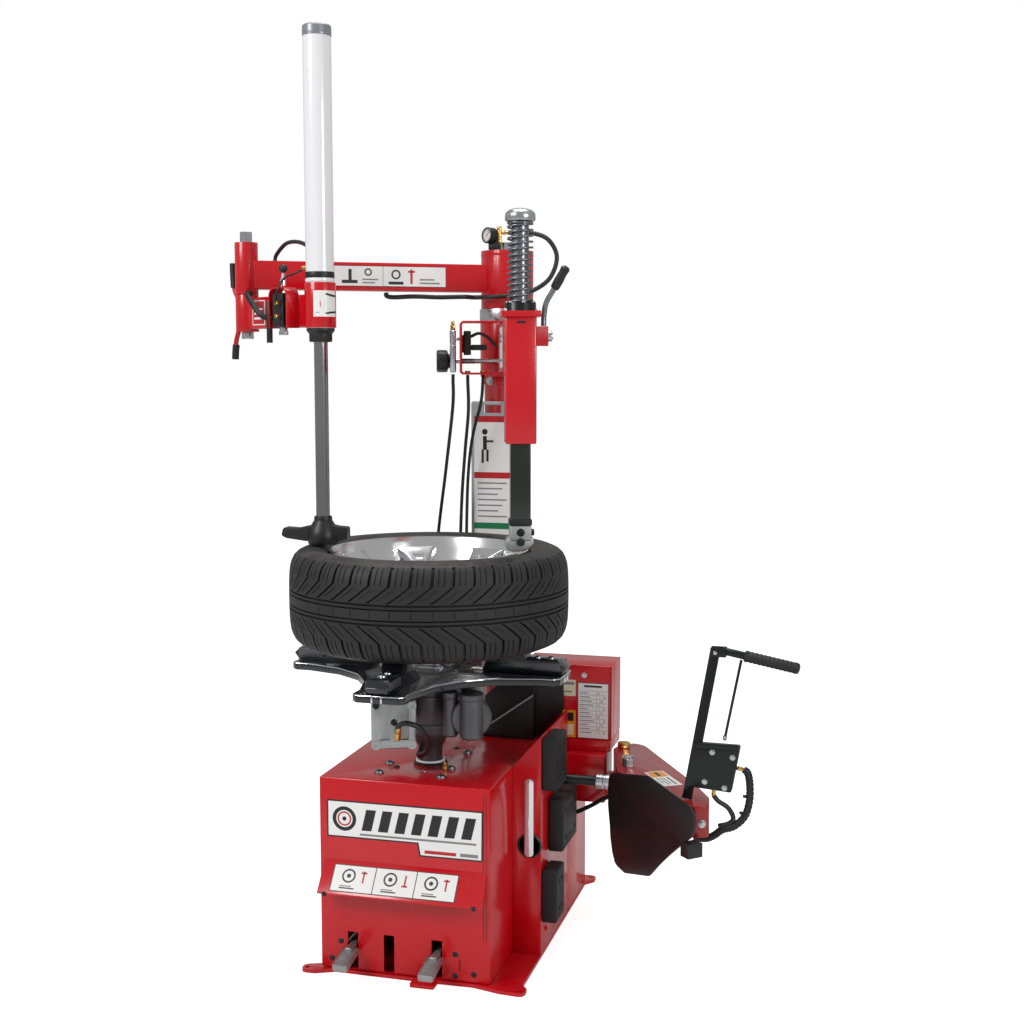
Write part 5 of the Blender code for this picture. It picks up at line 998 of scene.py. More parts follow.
# ---------------------------------------------------------------- swing arm, slide bar and mount head
def build_swing_arm():
    arm = coat(from_cad("swing_arm", 0.0015), RED)
    paint(arm, DARK_STEEL, lambda c: c.z > 1.5362 and near(c, HEAD, 0.037))
    side = SWING @ Matrix.Translation((0, -0.0277, 0)) @ FRONT_WALL
    film = decal(side, [(0.150, 1.406, 0.292, 1.510, 0, INK_GREY), (0.153, 1.409, 0.289, 1.507, 1, STICKER),
                        (0.165, 1.470, 0.200, 1.496, 2, BLACK_INK_AND_SHADE),
                        (0.212, 1.482, 0.278, 1.488, 2, INK_GREY),
                        (0.212, 1.470, 0.262, 1.475, 2, INK_GREY),
                        (0.165, 1.424, 0.278, 1.430, 2, INK_GREY)])
    seat = fasteners(socket_screw(), [(HEAD + Vector((0.0300 * cos(a), 0.0300 * sin(a), 1.5550)), (0, 0, 1),
                                       0.7) for a in (k * pi / 3 for k in range(6))], ZINC)
    lid_screws = fasteners(hex_bolt(), [(SWING @ Vector((SWING_REACH + x, y, 1.5360)), (0, 0, 1), 0.62)
                                        for x in (-0.036, 0.036) for y in (-0.036, 0.036)], ZINC)
    face = Matrix.Translation(HEAD) @ SWING_TURN
    # The black slot on the housing face is painted shade: a dark strip stands for the shadowed opening.
    slot = coat(move(block((0.0345, -0.010, 1.5080), (0.0353, 0.010, 1.5135), 0), face), BLACK_INK_AND_SHADE)
    pin_end = coat(join(bar(SWING @ Vector((SWING_REACH, 0.060, 1.480)),
                            SWING @ Vector((SWING_REACH, 0.072, 1.480)), 0.0120),
                        bar(SWING @ Vector((SWING_REACH, 0.070, 1.480)),
                            SWING @ Vector((SWING_REACH, 0.075, 1.480)), 0.0075, sides=6)), ZINC)
    place(join(arm, film, seat, lid_screws, slot, pin_end), "swing_weldment", "swing_arm", "red_paint",
          "swing_arm")

    low, high = 1.3945, 1.5215
    outline = [(0.020, low), (0.020, low - SHEET), (-0.122, low - SHEET), (-0.128, low + 0.003),
               (-0.128, high - 0.003), (-0.122, high + SHEET), (0.020, high + SHEET), (0.020, high),
               (-0.031, high), (-0.034, high - 0.002), (-0.119, high - 0.002), (-0.1225, high - 0.006),
               (-0.1225, low + 0.006), (-0.119, low + 0.002), (-0.034, low + 0.002), (-0.031, low)]
    strap = coat(move(cut_sheet(outline, 0.070, 0.0009),
                      SWING @ Matrix.Translation((0.120, 0, 0)) @ RIGHT_WALL), RED)
    valve = coat(join(move(block((0.135, -0.118, 1.440), (0.170, -0.100, 1.500), 0.002), SWING),
                      move(block((0.140, -0.1228, 1.446), (0.165, -0.117, 1.490), 0.001), SWING),
                      move(block((0.142, -0.1000, 1.452), (0.163, -0.060, 1.466), 0.003), SWING),
                      tube(smooth_route([SWING @ Vector(stop)
                                         for stop in ((0.152, -0.100, 1.486), (0.156, -0.080, 1.494),
                                                      (0.158, -0.058, 1.484), (0.156, -0.036, 1.462))], 24),
                           0.0040, 3)), BLACK)
    gland = coat(join(*[bar(SWING @ Vector((0.150, -y, 1.3940)), SWING @ Vector((0.150, -y, 1.4010)),
                            0.0075, sides=6) for y in (0.070, 0.108)]), BRASS)
    place(join(strap, valve, gland), "valve_strap", "swing_arm", "red_paint", "valve_bracket")

    left = Vector((0.178, -0.1455, 0))
    body = coat(turned([(0.000, 1.5010), (0.0062, 1.5010), (0.0080, 1.4990), (0.0080, 1.4700),
                        (0.0072, 1.4690), (0.0072, 1.4640), (0.0080, 1.4630), (0.0080, 1.4000),
                        (0.0060, 1.3965), (0.000, 1.3965)], SWING @ left, sides=40), ZINC)
    top = coat(bar(SWING @ (left + Vector((0, 0, 1.500))), SWING @ (left + Vector((0, 0, 1.514))), 0.0065,
                   sides=6), BRASS)
    nib = coat(bar(SWING @ (left + Vector((0, 0, 1.514))), SWING @ (left + Vector((0, 0, 1.524))), 0.0042),
               BRASS)
    stay = coat(bar(SWING @ Vector((0.178, -0.1290, 1.480)), SWING @ Vector((0.178, -0.1455, 1.480)),
                    0.0045), ZINC)
    place(join(body, top, nib, stay), "lock_air_valve", "swing_arm", "zinc_plate", "lock_valve")

    wheel = bar(SWING @ Vector((0.150, -0.158, 1.425)), SWING @ Vector((0.150, -0.186, 1.425)), 0.0290,
                sides=8, edge=0.005)
    boss = turned([(0.000, 0.0), (0.016, 0.0), (0.018, 0.006), (0.022, 0.008), (0.000, 0.008)],
                  SWING @ Vector((0.150, -0.150, 1.425)), SWING.to_3x3() @ Vector((0, -1, 0)), 32)
    threads = [turned([(0.0072, 0.0008), (0.0060, 0.0016), (0.0060, 0.0)],
                      SWING @ Vector((0.150, -0.0900 - 0.0020 * number, 1.425)),
                      SWING.to_3x3() @ Vector((0, -1, 0)), 20) for number in range(16)]
    pin = coat(join(bar(SWING @ Vector((0.150, -0.0285, 1.425)), SWING @ Vector((0.150, -0.165, 1.425)),
                        0.0060), *threads), ZINC)
    place(join(coat(join(wheel, boss), BLACK), pin), "lock_hand_knob", "lock_knob", "black_plastic",
          "lock_knob")

    side_foot = SWING @ Vector((SWING_REACH, 0.053, 0))
    route = [side_foot + Vector(step) for step in ((0, 0, 1.5030), (0.001, 0, 1.530),
                                                   (0.007, -0.002, 1.556), (0.024, -0.006, 1.583),
                                                   (0.032, -0.008, 1.596))]
    stem = coat(tube(smooth_route(route, 28), 0.0062, 5), GREY_STEEL)
    grip = turned([(0.000, 0.0), (0.0085, 0.0), (0.0100, 0.003), (0.0108, 0.020), (0.0095, 0.040),
                   (0.0108, 0.052), (0.0060, 0.0565), (0.000, 0.0570)],
                  side_foot + Vector((0.026, -0.0065, 1.586)), (0.030, -0.0075, 0.048), 40)
    place(join(stem, coat(grip, BLACK)), "bar_lock_lever", "lock_lever", "zinc_plate", "lock_lever")


def build_slide():
    spin = Matrix.Translation(HEAD) @ SWING_TURN
    square = coat(move(block((-0.023, -0.023, 1.053), (0.023, 0.023, 1.262), 0.0022, 3), spin), GREEN_STEEL)
    collar = coat(move(block((-0.026, -0.026, 1.053), (0.026, 0.026, 1.066), 0.0018, 3), spin), BLACK)
    shaft = coat(turned([(0.000, 1.7345), (0.0180, 1.7345), (0.0195, 1.7330), (0.0195, 1.2500),
                         (0.000, 1.2500)], HEAD, sides=64), GREY_STEEL)
    place(join(square, collar, shaft), "sliding_bar", "slide_bar", "black_steel", "slide_bar")
    cap = turned([(0.000, 0.0300), (0.010, 0.0296), (0.019, 0.0280), (0.0265, 0.0250), (0.0315, 0.0210),
                  (0.0340, 0.0170), (0.0345, 0.0120), (0.0345, 0.0040), (0.0335, 0.0020), (0.0310, 0.0005),
                  (0.000, 0.0005)], HEAD + Vector((0, 0, 1.7345)), sides=72)
    place(coat(cap, ZINC), "domed_cap", "slide_bar", "zinc_plate", "spring_cap")

    wire_r, turns, per_turn = 0.0026, 15, 36
    low, high = 1.555 + wire_r + GAP, 1.7345 - wire_r - GAP
    helix = []
    for step in range(turns * per_turn + 1):
        angle = 2 * pi * step / per_turn
        rise = min(1.0, max(0.0, (step - per_turn * 0.8) / (per_turn * (turns - 1.6))))
        helix.append(HEAD + Vector((0.0275 * cos(angle), 0.0275 * sin(angle), low + (high - low) * rise)))
    spring = coat(tube(helix, wire_r, 3), GREY_STEEL)
    smooth_all_over(spring, "lift_spring")
    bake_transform(spring)
    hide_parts("return_spring")


def build_mount_head():
    """Cast duck-bill head: clamp block, hex bolt, and the curved bill with its hook."""
    spin = Matrix.Translation(HEAD + Vector((0, 0, MOUNT_HEAD_LOW))) @ SWING_TURN
    body = block((-0.024, -0.025, 0.024), (0.024, 0.025, 0.060), 0.004, 3)
    bill = cut_sheet([(-0.020, 0.0), (-0.004, 0.0), (0.010, 0.003), (0.022, 0.009), (0.030, 0.018),
                      (0.030, 0.031), (-0.030, 0.031), (-0.035, 0.018), (-0.032, 0.005)], 0.044, 0.003, 3)
    bill = move(bill, Matrix.Rotation(pi / 2, 4, "X") @ Matrix.Translation((0, 0, -0.022)))
    bill = move(bill, Matrix.Rotation(pi / 2, 4, "Z"))
    place(move(coat(join(body, bill), CAST), spin), "duck_bill_head", "slide_bar", "cast_metal",
          "mount_head")
    bolt = fasteners(hex_bolt(), [(spin @ Vector((0.0, 0.025, 0.042)), spin.to_3x3() @ Vector((0, 1, 0)),
                                   1.0), (spin @ Vector((0.024, 0.0, 0.044)),
                                          spin.to_3x3() @ Vector((1, 0, 0)), 0.9)], DARK_STEEL)
    roller = coat(turned([(0.0, 0.0), (0.008, 0.0), (0.009, 0.002), (0.009, 0.004), (0.0, 0.005)],
                         spin @ Vector((0.0240, 0.0, 0.022)), spin.to_3x3() @ Vector((1, 0, 0)), 32), BLACK)
    place(join(bolt, roller), "head_bolts", "slide_bar", "black_steel")


# ---------------------------------------------------------------- press arm
def build_upper_arm():
    arm = coat(from_cad("upper_arm", 0.0015), RED)
    paint(arm, ZINC, lambda c: near(c, POST, 0.0160) and (c.z > 1.7156 or c.z < 1.5888))
    cap = coat(turned([(0.0685, 1.7010), (0.0685, 1.6950), (0.0675, 1.6950), (0.0675, 1.7010)], COLUMN,
                      sides=64), RED)
    face = BEAM @ Matrix.Translation((0, 0.0252, 0)) @ Matrix.Rotation(pi, 4, "Z") @ FRONT_WALL
    patches = [(-0.457, 1.612, -0.169, 1.664, 0, BLACK_INK_AND_SHADE), (-0.4555, 1.6135, -0.3325, 1.6625, 1, STICKER),
               (-0.3315, 1.6135, -0.1705, 1.6625, 1, STICKER), (-0.437, 1.620, -0.397, 1.628, 2, BLACK_INK_AND_SHADE),
               (-0.420, 1.628, -0.412, 1.655, 2, BLACK_INK_AND_SHADE), (-0.385, 1.620, -0.352, 1.6235, 2, INK_GREY),
               (-0.385, 1.628, -0.345, 1.6315, 2, INK_GREY), (-0.318, 1.618, -0.280, 1.625, 2, BLACK_INK_AND_SHADE),
               (-0.262, 1.620, -0.256, 1.656, 2, INK_RED), (-0.268, 1.648, -0.250, 1.653, 2, INK_RED),
               (-0.238, 1.620, -0.186, 1.624, 2, INK_GREY), (-0.238, 1.629, -0.200, 1.633, 2, INK_GREY)]
    rings = [disc(-0.299, 1.643, 0.012, 2, BLACK_INK_AND_SHADE, 0.008, face),
             disc(-0.370, 1.648, 0.0095, 2, BLACK_INK_AND_SHADE, 0.006, face)]
    place(join(arm, cap, decal(face, patches), *rings), "press_beam", "upper_arm", "red_paint", "upper_arm")


def build_gauge():
    """Regulator, dial gauge and brass fittings on the press arm's hub."""
    foot = COLUMN + Vector((-0.020, -0.053, 0))
    out = Vector((-0.55, -0.83, 0.05)).normalized()
    centre = foot + Vector((-0.010, -0.004, 1.745))
    case = coat(turned([(0.000, -0.014), (0.0170, -0.014), (0.0205, -0.010), (0.0205, 0.011),
                        (0.0190, 0.0130), (0.0175, 0.0130), (0.0175, 0.0100), (0.000, 0.0100)], centre, out,
                       56), BLACK)
    dial = coat(turned([(0.000, 0.0108), (0.0172, 0.0108), (0.0172, 0.0095), (0.000, 0.0095)], centre, out,
                       56), STICKER)
    rim = coat(turned([(0.0160, 0.0111), (0.0160, 0.0100), (0.0140, 0.0100), (0.0140, 0.0111)], centre, out,
                      56), INK_GREY)
    across = Vector((0, 0, 1)).cross(out).normalized()
    up = out.cross(across)
    marks = [coat(bar(centre + out * 0.0112 + (across * cos(a) + up * sin(a)) * 0.0110,
                      centre + out * 0.0112 + (across * cos(a) + up * sin(a)) * 0.0135, 0.0004, sides=8,
                      edge=0), BLACK_INK_AND_SHADE) for a in (radians(-50 + 28 * k) for k in range(11))]
    needle = coat(bar(centre + out * 0.0116 - across * 0.003 - up * 0.003,
                      centre + out * 0.0116 + across * 0.008 + up * 0.009, 0.0005, sides=8, edge=0),
                  INK_RED)
    body = coat(join(block(foot + Vector((-0.014, -0.008, 1.7090)), foot + Vector((0.016, 0.008, 1.7270)),
                           0.002), block(foot + Vector((-0.012, -0.007, 1.7200)),
                                         foot + Vector((0.012, 0.007, 1.7480)), 0.002)), BLACK)
    post = foot + Vector((0.0136, 0.0006, 0))
    brass = [bar(post + Vector((0, 0, 1.7215)), post + Vector((0, 0, 1.7680)), 0.0052, sides=24),
             bar(foot + Vector((0.010, 0, 1.752)), foot + Vector((0.044, 0.004, 1.752)), 0.0042, sides=24)]
    brass += [bar(post + Vector((0, 0, z)), post + Vector((0, 0, z + 0.006)), 0.0068, sides=6)
              for z in (1.728, 1.742, 1.759)]
    brass += [bar(foot + Vector((x, 0.001, 1.752)), foot + Vector((x + 0.006, 0.0015, 1.752)), 0.0062,
                  sides=6) for x in (0.024, 0.036)]
    place(join(body, case, dial, rim, *marks, needle, coat(join(*brass), BRASS)), "air_regulator",
          "upper_arm", "black_plastic", "pressure_gauge")


def build_arm_hose():
    front = BEAM.to_3x3() @ Vector((0, -1, 0))
    forward = BEAM.to_3x3() @ Vector((1, 0, 0))
    under = [COLUMN + forward * along + front * -across + Vector((0, 0, height))
             for along, across, height in ((0.130, 0.055, 1.588), (0.190, 0.036, 1.587),
                                           (0.250, 0.018, 1.589), (0.300, 0.004, 1.587),
                                           (0.318, 0.0, 1.590), (0.320, 0.0, 1.599))]
    stops = [COLUMN + Vector((0.028, -0.0485, 1.752)), (0.140, 0.3965, 1.752), (0.190, 0.392, 1.735),
             (0.216, 0.390, 1.690), (0.200, 0.384, 1.636), (0.160, 0.368, 1.604), (0.115, 0.353, 1.592),
             (0.060, 0.346, 1.588), (0.005, 0.366, 1.588)]
    hose = coat(tube(smooth_route(stops + under, 110), 0.0058, 4), HOSE)
    place(hose, "beam_air_hose", "upper_arm", "black_rubber", "arm_hose")


def wrapped(outline, radius, ink):
    """Film on the press clamp's round front: an upright outline cut from a thin sleeve."""
    film = turned([(radius, 1.600), (radius, 1.510), (0.0366, 1.510), (0.0366, 1.600)], PRESS, sides=96)
    keep = move(cut_sheet([(x - 0.004, z) for x, z in outline], 0.060, 0),
                Matrix.Translation((PRESS.x, PRESS.y + 0.0005, 0)) @ FRONT_WALL)
    apply(film, "BOOLEAN", operation="INTERSECT", solver="EXACT", object=keep)
    bpy.data.objects.remove(keep, do_unlink=True)
    return coat(film, ink)


def build_link_arm():
    arm = coat(from_cad("link_arm", 0.0012), RED)
    inverse = LINK.inverted()
    paint(arm, BLACK, lambda c: hypot((inverse @ c).x - VALVE_ALONG + 0.040,
                                      (inverse @ c).y + 0.050) < 0.0078 and 1.466 < c.z < 1.568)
    face = LINK @ Matrix.Translation((0, -0.0202, 0)) @ FRONT_WALL
    patches = [(0.052, 1.512, 0.104, 1.572, 0, STICKER), (0.0545, 1.5145, 0.1015, 1.5695, 1, INK_RED),
               (0.060, 1.548, 0.096, 1.553, 2, STICKER), (0.060, 1.538, 0.090, 1.542, 2, STICKER),
               (0.060, 1.526, 0.096, 1.531, 2, STICKER)]
    grips = []
    for points in (((-0.052, 0.004, 1.668), (-0.0515, 0.004, 1.640), (-0.049, 0.004, 1.608)),
                   ((-0.0450, 0.004, 1.466), (-0.048, 0.004, 1.450), (-0.050, 0.004, 1.430))):
        route = [LINK @ Vector((along, -front, height)) for along, front, height in points]
        grips.append(coat(tube(smooth_route(route, 12), 0.0088, 5), BLACK))
    screws = fasteners(hex_bolt(), [(LINK @ Vector((0.300, 0.0355, z)),
                                     LINK.to_3x3() @ Vector((0, 1, 0)), 0.7) for z in (1.525, 1.582)], ZINC)
    film = [wrapped([(0.002, 1.527), (0.060, 1.527), (0.060, 1.587), (0.002, 1.587)], 0.0371, STICKER),
            wrapped([(0.008, 1.536), (0.016, 1.536), (0.016, 1.5375), (0.008, 1.5375)], 0.0373, INK_GREY),
            wrapped([(0.0175, 1.549), (0.019, 1.549), (0.019, 1.563), (0.0175, 1.563)], 0.0373, INK_RED),
            wrapped([(0.027, 1.578), (0.060, 1.5650), (0.060, 1.5690), (0.031, 1.5815)], 0.0373, BLACK_INK_AND_SHADE),
            wrapped([(0.027, 1.536), (0.060, 1.5450), (0.060, 1.5410), (0.031, 1.5325)], 0.0373, BLACK_INK_AND_SHADE)]
    place(join(arm, decal(face, patches), *grips, screws, *film), "press_link", "link_arm", "red_paint",
          "link_arm")

    valve = coat(move(block((VALVE_ALONG - 0.021, -0.055, 1.5045), (VALVE_ALONG + 0.021, -0.0205, 1.5840),
                            0.003, 3), LINK), BLACK)
    bosses = coat(join(*[bar(LINK @ Vector((VALVE_ALONG + 0.008, -0.054, z)),
                             LINK @ Vector((VALVE_ALONG + 0.008, -0.058, z)), 0.0085)
                         for z in (1.530, 1.560)]), BLACK)
    fittings = coat(join(*[bar(LINK @ Vector((VALVE_ALONG + 0.008, -0.055, z)),
                               LINK @ Vector((VALVE_ALONG + 0.008, -0.067, z)), 0.0052, sides=6)
                           for z in (1.530, 1.560)]), BRASS)
    tail = coat(join(bar(LINK @ Vector((VALVE_ALONG, -0.038, 1.486)),
                         LINK @ Vector((VALVE_ALONG, -0.038, 1.496)), 0.0115, sides=6),
                     bar(LINK @ Vector((VALVE_ALONG, -0.038, 1.494)),
                         LINK @ Vector((VALVE_ALONG, -0.038, 1.508)), 0.0095)), ZINC)
    place(join(valve, bosses, fittings, tail), "press_air_valve", "link_arm", "black_plastic",
          "control_valve")

    stem = coat(join(turned([(0.000, 1.6190), (0.0050, 1.6190), (0.0070, 1.6160), (0.0070, 1.6015),
                             (0.000, 1.6015)], LINK @ Vector((VALVE_ALONG, -0.038, 0)), sides=32),
                     bar(LINK @ Vector((VALVE_ALONG, -0.038, 1.615)),
                         LINK @ Vector((VALVE_ALONG + 0.008, -0.042, 1.636)), 0.0045)), CHROME_AND_HIGHLIGHT)
    bpy.ops.mesh.primitive_uv_sphere_add(segments=36, ring_count=20, radius=0.0105,
                                         location=LINK @ Vector((VALVE_ALONG + 0.009, -0.043, 1.641)))
    ball = coat(settle(bpy.context.object), BLACK)
    place(join(stem, ball), "valve_stick", "valve_lever", "chrome", "valve_lever")
    build_link_hoses()


def build_link_hoses():
    """Short air hoses between the press arm's post, the valve and the press cylinder."""
    arc = [(-0.448, 0.142, 1.6722), (-0.440, 0.138, 1.690), (-0.395, 0.100, 1.713), (-0.335, 0.050, 1.708),
           (-0.285, 0.010, 1.680), (-0.262, -0.021, 1.650)]
    thin = [LINK @ Vector((VALVE_ALONG + 0.008, -0.066, 1.560)),
            LINK @ Vector((VALVE_ALONG + 0.022, -0.072, 1.584)),
            LINK @ Vector((VALVE_ALONG + 0.030, -0.058, 1.615)),
            LINK @ Vector((VALVE_ALONG + 0.046, -0.034, 1.630)), (PRESS.x - 0.031, PRESS.y - 0.012, 1.640)]
    supply = [LINK @ Vector((0.030, -0.010, 1.590)), LINK @ Vector((0.060, -0.040, 1.586)),
              LINK @ Vector((0.100, -0.052, 1.560)), LINK @ Vector((0.135, -0.050, 1.532)),
              LINK @ Vector((VALVE_ALONG - 0.030, -0.045, 1.526))]
    bridge = coat(tube(smooth_route(arc, 60), 0.0050, 4), HOSE)
    smooth_all_over(bridge, "beam_to_press_hose")
    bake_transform(bridge)
    line = smooth_route(supply, 60)
    wraps = [tube(line[number:number + 2], 0.0072, 3) for number in range(2, 58, 3)]
    hoses = [tube(smooth_route(thin, 32), 0.0026, 3), tube(line, 0.0062, 4)]
    place(coat(join(*hoses, *wraps), HOSE), "link_air_hoses", "link_arm", "black_rubber")


def build_press():
    white = turned([(0.0328, PRESS_TOP), (0.0328, 1.5010), (0.0292, 1.5010), (0.0292, PRESS_TOP)], PRESS,
                   sides=96)
    band = turned([(0.0336, 1.6310), (0.0340, 1.6300), (0.0340, 1.6180), (0.0336, 1.6170), (0.0327, 1.6170),
                   (0.0327, 1.6310)], PRESS, sides=96)
    ring = turned([(0.0342, 1.6150), (0.0344, 1.6140), (0.0344, 1.6090), (0.0340, 1.6080), (0.0327, 1.6080),
                   (0.0327, 1.6150)], PRESS, sides=96)
    gland = turned([(0.0330, 1.5005), (0.0332, 1.4960), (0.0290, 1.4900), (0.0270, 1.4880),
                    (0.0270, 1.4720), (0.0255, 1.4690), (0.0170, 1.4690), (0.0170, 1.5120),
                    (0.0290, 1.5120), (0.0290, 1.5005)], PRESS, sides=96)
    fitting = coat(bar(PRESS + Vector((-0.030, -0.010, 1.640)), PRESS + Vector((-0.040, -0.014, 1.640)),
                       0.0055, sides=6), BRASS)
    place(join(coat(white, WHITE), coat(band, BLACK), coat(ring, WHITE), coat(gland, BLACK), fitting),
          "press_tube", "link_arm", "white_paint", "press_cylinder")
    cap = turned([(0.000, 0.0260), (0.0280, 0.0260), (0.0312, 0.0250), (0.0335, 0.0220), (0.0338, 0.0080),
                  (0.0330, 0.0070), (0.0330, 0.0055), (0.0338, 0.0045), (0.0335, GAP), (0.0286, GAP),
                  (0.0286, -0.020), (0.000, -0.020)], PRESS + Vector((0, 0, PRESS_TOP)), sides=96)
    place(coat(cap, GREY), "press_end_cap", "link_arm", "grey_paint", "press_cap")
    # The piston rod's darkened chrome is a painted dark reflection.
    stick = turned([(0.000, 1.560), (0.0286, 1.560), (0.0286, 1.520), (0.0163, 1.520), (0.0163, 1.0605),
                    (0.000, 1.0605)], PRESS, sides=64)
    place(coat(stick, PAINTED_DARK_CHROME), "press_piston_rod", "press_rod", "chrome", "press_rod")
    foot = coat(from_cad("press_foot", 0.0020, 3), BLACK)
    sleeve = coat(turned([(0.0205, 0.010), (0.0215, 0.006), (0.0215, -0.004), (0.0170, -0.006),
                          (0.0170, 0.010)], PRESS + Vector((0, 0, 1.0490)), sides=48), BLACK)
    place(join(foot, sleeve), "press_shoe", "press_foot", "black_plastic", "press_foot")


# ---------------------------------------------------------------- hoses to the cabinet
def build_control_hoses():
    def left(along, side, height):
        return SWING @ Vector((along, -side, height))
    routes = (("control_hose_left", [left(0.178, 0.1455, 1.3925), left(0.178, 0.1455, 1.3780),
                                     (-0.018, 0.248, 1.310), (-0.050, 0.290, 1.150), (-0.092, 0.345, 0.950),
                                     (-0.108, 0.365, 0.750), (-0.100, 0.375, 0.560),
                                     (-0.098, 0.378, DECK + GAP)]),
              ("control_hose_middle", [left(0.150, 0.108, 1.3905), left(0.150, 0.108, 1.375),
                                       (0.012, 0.285, 1.300), (-0.008, 0.322, 1.200),
                                       (-0.024, 0.345, 1.080), (-0.032, 0.355, 0.950),
                                       (-0.036, 0.358, 0.750), (-0.036, 0.358, DECK + GAP)]),
              ("control_hose_right", [left(0.150, 0.070, 1.3905), left(0.150, 0.070, 1.375),
                                      (0.042, 0.295, 1.320), (0.010, 0.330, 1.235), (-0.008, 0.350, 1.140),
                                      (-0.015, 0.356, 1.000), (-0.017, 0.357, 0.800),
                                      (-0.017, 0.357, DECK + GAP)]))
    for name, stops in routes:
        hose = coat(tube(smooth_route(stops, 90), 0.0042, 4), HOSE)
        smooth_all_over(hose, name + "_line")
        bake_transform(hose)
        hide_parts(name)


# ---------------------------------------------------------------- bead loosener
def build_bead_loosener():
    bracket = coat(from_cad("hinge_bracket", 0.0015), RED)
    paint(bracket, BRASS, lambda c: near(c, BEAD_PIVOT, 0.020) and c.z > 0.4475)
    place(bracket, "pivot_bracket", "cabinet", "red_paint", "hinge_bracket")

    arm = coat(from_cad("bead_arm", 0.0018, 3), DEEP_RED)
    paint(arm, ZINC, lambda c: hypot(c.x - 0.452, c.y - 0.160) < 0.0165 and (c.z > 0.4475 or c.z < 0.4400))
    top = Matrix.Translation((0.552, 0.070, 0.4472)) @ Matrix.Rotation(radians(-58), 4, "Z")
    film = decal(top, [(-0.060, -0.024, 0.060, 0.024, 0, STICKER),
                       (-0.056, -0.020, -0.014, 0.020, 1, AMBER),
                       (-0.050, -0.004, -0.020, 0.004, 2, BLACK_INK_AND_SHADE),
                       (-0.006, 0.010, 0.050, 0.014, 1, BLACK_INK_AND_SHADE),
                       (-0.006, 0.000, 0.044, 0.003, 1, INK_GREY),
                       (-0.006, -0.008, 0.050, -0.005, 1, INK_GREY),
                       (-0.006, -0.016, 0.036, -0.013, 1, INK_GREY)])
    crown = coat(join(*[move(block((0.0085, -0.0024, 0.4650), (0.0150, 0.0024, 0.4705), 0.0008),
                             Matrix.Translation((0.452, 0.160, 0)) @ Matrix.Rotation(k * pi / 3, 4, "Z"))
                        for k in range(6)]), ZINC)
    place(join(arm, film, crown), "loosener_arm", "bead_arm", "red_paint", "bead_arm")

    shovel = from_cad("bead_shovel", 0.0014, 3)
    carve(shovel, move(block((0.310, -0.0125, 0.330), (0.356, 0.022, 0.3755), 0), BLADE))
    coat(shovel, BLACK)
    side_bolt = fasteners(hex_bolt(), [((0.669, -0.120, 0.407), (0.43, -0.90, 0), 0.9)], ZINC)
    pin = coat(bar((0.632, -0.105, 0.372), (0.632, -0.105, 0.352), 0.0040, sides=24), ZINC)
    place(join(shovel, side_bolt, pin), "loosener_shovel", "bead_shovel", "black_steel", "bead_shovel")

    handle = coat(from_cad("bead_handle", 0.0012), DARK_STEEL)
    paint(handle, BRASS, lambda c: c.x > 0.7455 and 0.518 < c.z < 0.536)
    bolts = fasteners(hex_bolt(), [((x, HANDLE_Y - 0.014, z), (0, -1, 0), 0.62) for x, z in (
        (0.670, 0.495), (0.714, 0.484), (0.731, 0.554), (0.686, 0.563))], ZINC)
    lip = coat(block((0.652, HANDLE_Y - 0.0185, 0.572), (0.745, HANDLE_Y - 0.0135, 0.5835), 0.0015),
               DARK_STEEL)
    foot_bolts = fasteners(hex_bolt(), [((0.6200, HANDLE_Y + 0.022, 0.4472), (0, 0, 1), 0.8)], ZINC)
    elbows = coat(join(bar((0.741, HANDLE_Y, 0.5280), (0.7560, HANDLE_Y, 0.5240), 0.0052, sides=6),
                       bar((0.690, HANDLE_Y - 0.010, 0.478), (0.690, HANDLE_Y - 0.010, 0.464), 0.0052,
                           sides=6)), BRASS)
    place(join(handle, bolts, lip, foot_bolts, elbows), "handle_bar", "bead_arm", "black_steel",
          "bead_handle")

    loop = [(0.7540, HANDLE_Y, 0.5250), (0.7630, HANDLE_Y, 0.5190), (0.7680, -0.079, 0.495),
            (0.768, -0.076, 0.455), (0.758, -0.074, 0.418), (0.734, -0.072, 0.392), (0.708, -0.072, 0.382),
            (0.692, -0.073, 0.3690), (0.676, -0.074, 0.3605), (0.660, -0.073, 0.3585),
            (0.646, -0.070, 0.3585)]
    route = smooth_route(loop, 80)
    coil = coat(tube(route, 0.0080, 5), HOSE)
    wraps = [tube(route[start:start + 2], 0.0088, 5) for start in range(4, 72, 2)]
    inner = [(0.690, HANDLE_Y - 0.010, 0.465), (0.700, -0.087, 0.452), (0.722, -0.082, 0.436),
             (0.733, -0.078, 0.412), (0.722, -0.074, 0.398), (0.700, -0.072, 0.390)]
    second = coat(tube(smooth_route(inner, 50), 0.0055, 4), HOSE)
    ties = [coat(block(route[index] + Vector((-0.0155, -0.003, -0.003)),
                       route[index] + Vector((-0.0080, 0.003, 0.003)), 0.0008), BLACK)
            for index in (22, 30, 38)]
    place(join(coil, second, *ties, coat(join(*wraps), RUBBER)), "handle_hose", "bead_arm", "black_rubber",
          "valve_hose")

    feed = [(SIDE_RIGHT + 0.001, 0.250, 0.285), (0.300, 0.246, 0.290), (0.340, 0.236, 0.312),
            (0.372, 0.226, 0.334), (0.400, 0.218, 0.350), (0.430, 0.210, 0.360)]
    line = coat(tube(smooth_route(feed, 48), 0.0055, 4), HOSE)
    smooth_all_over(line, "loosener_air_hose")
    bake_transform(line)
    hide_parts("bead_hose")

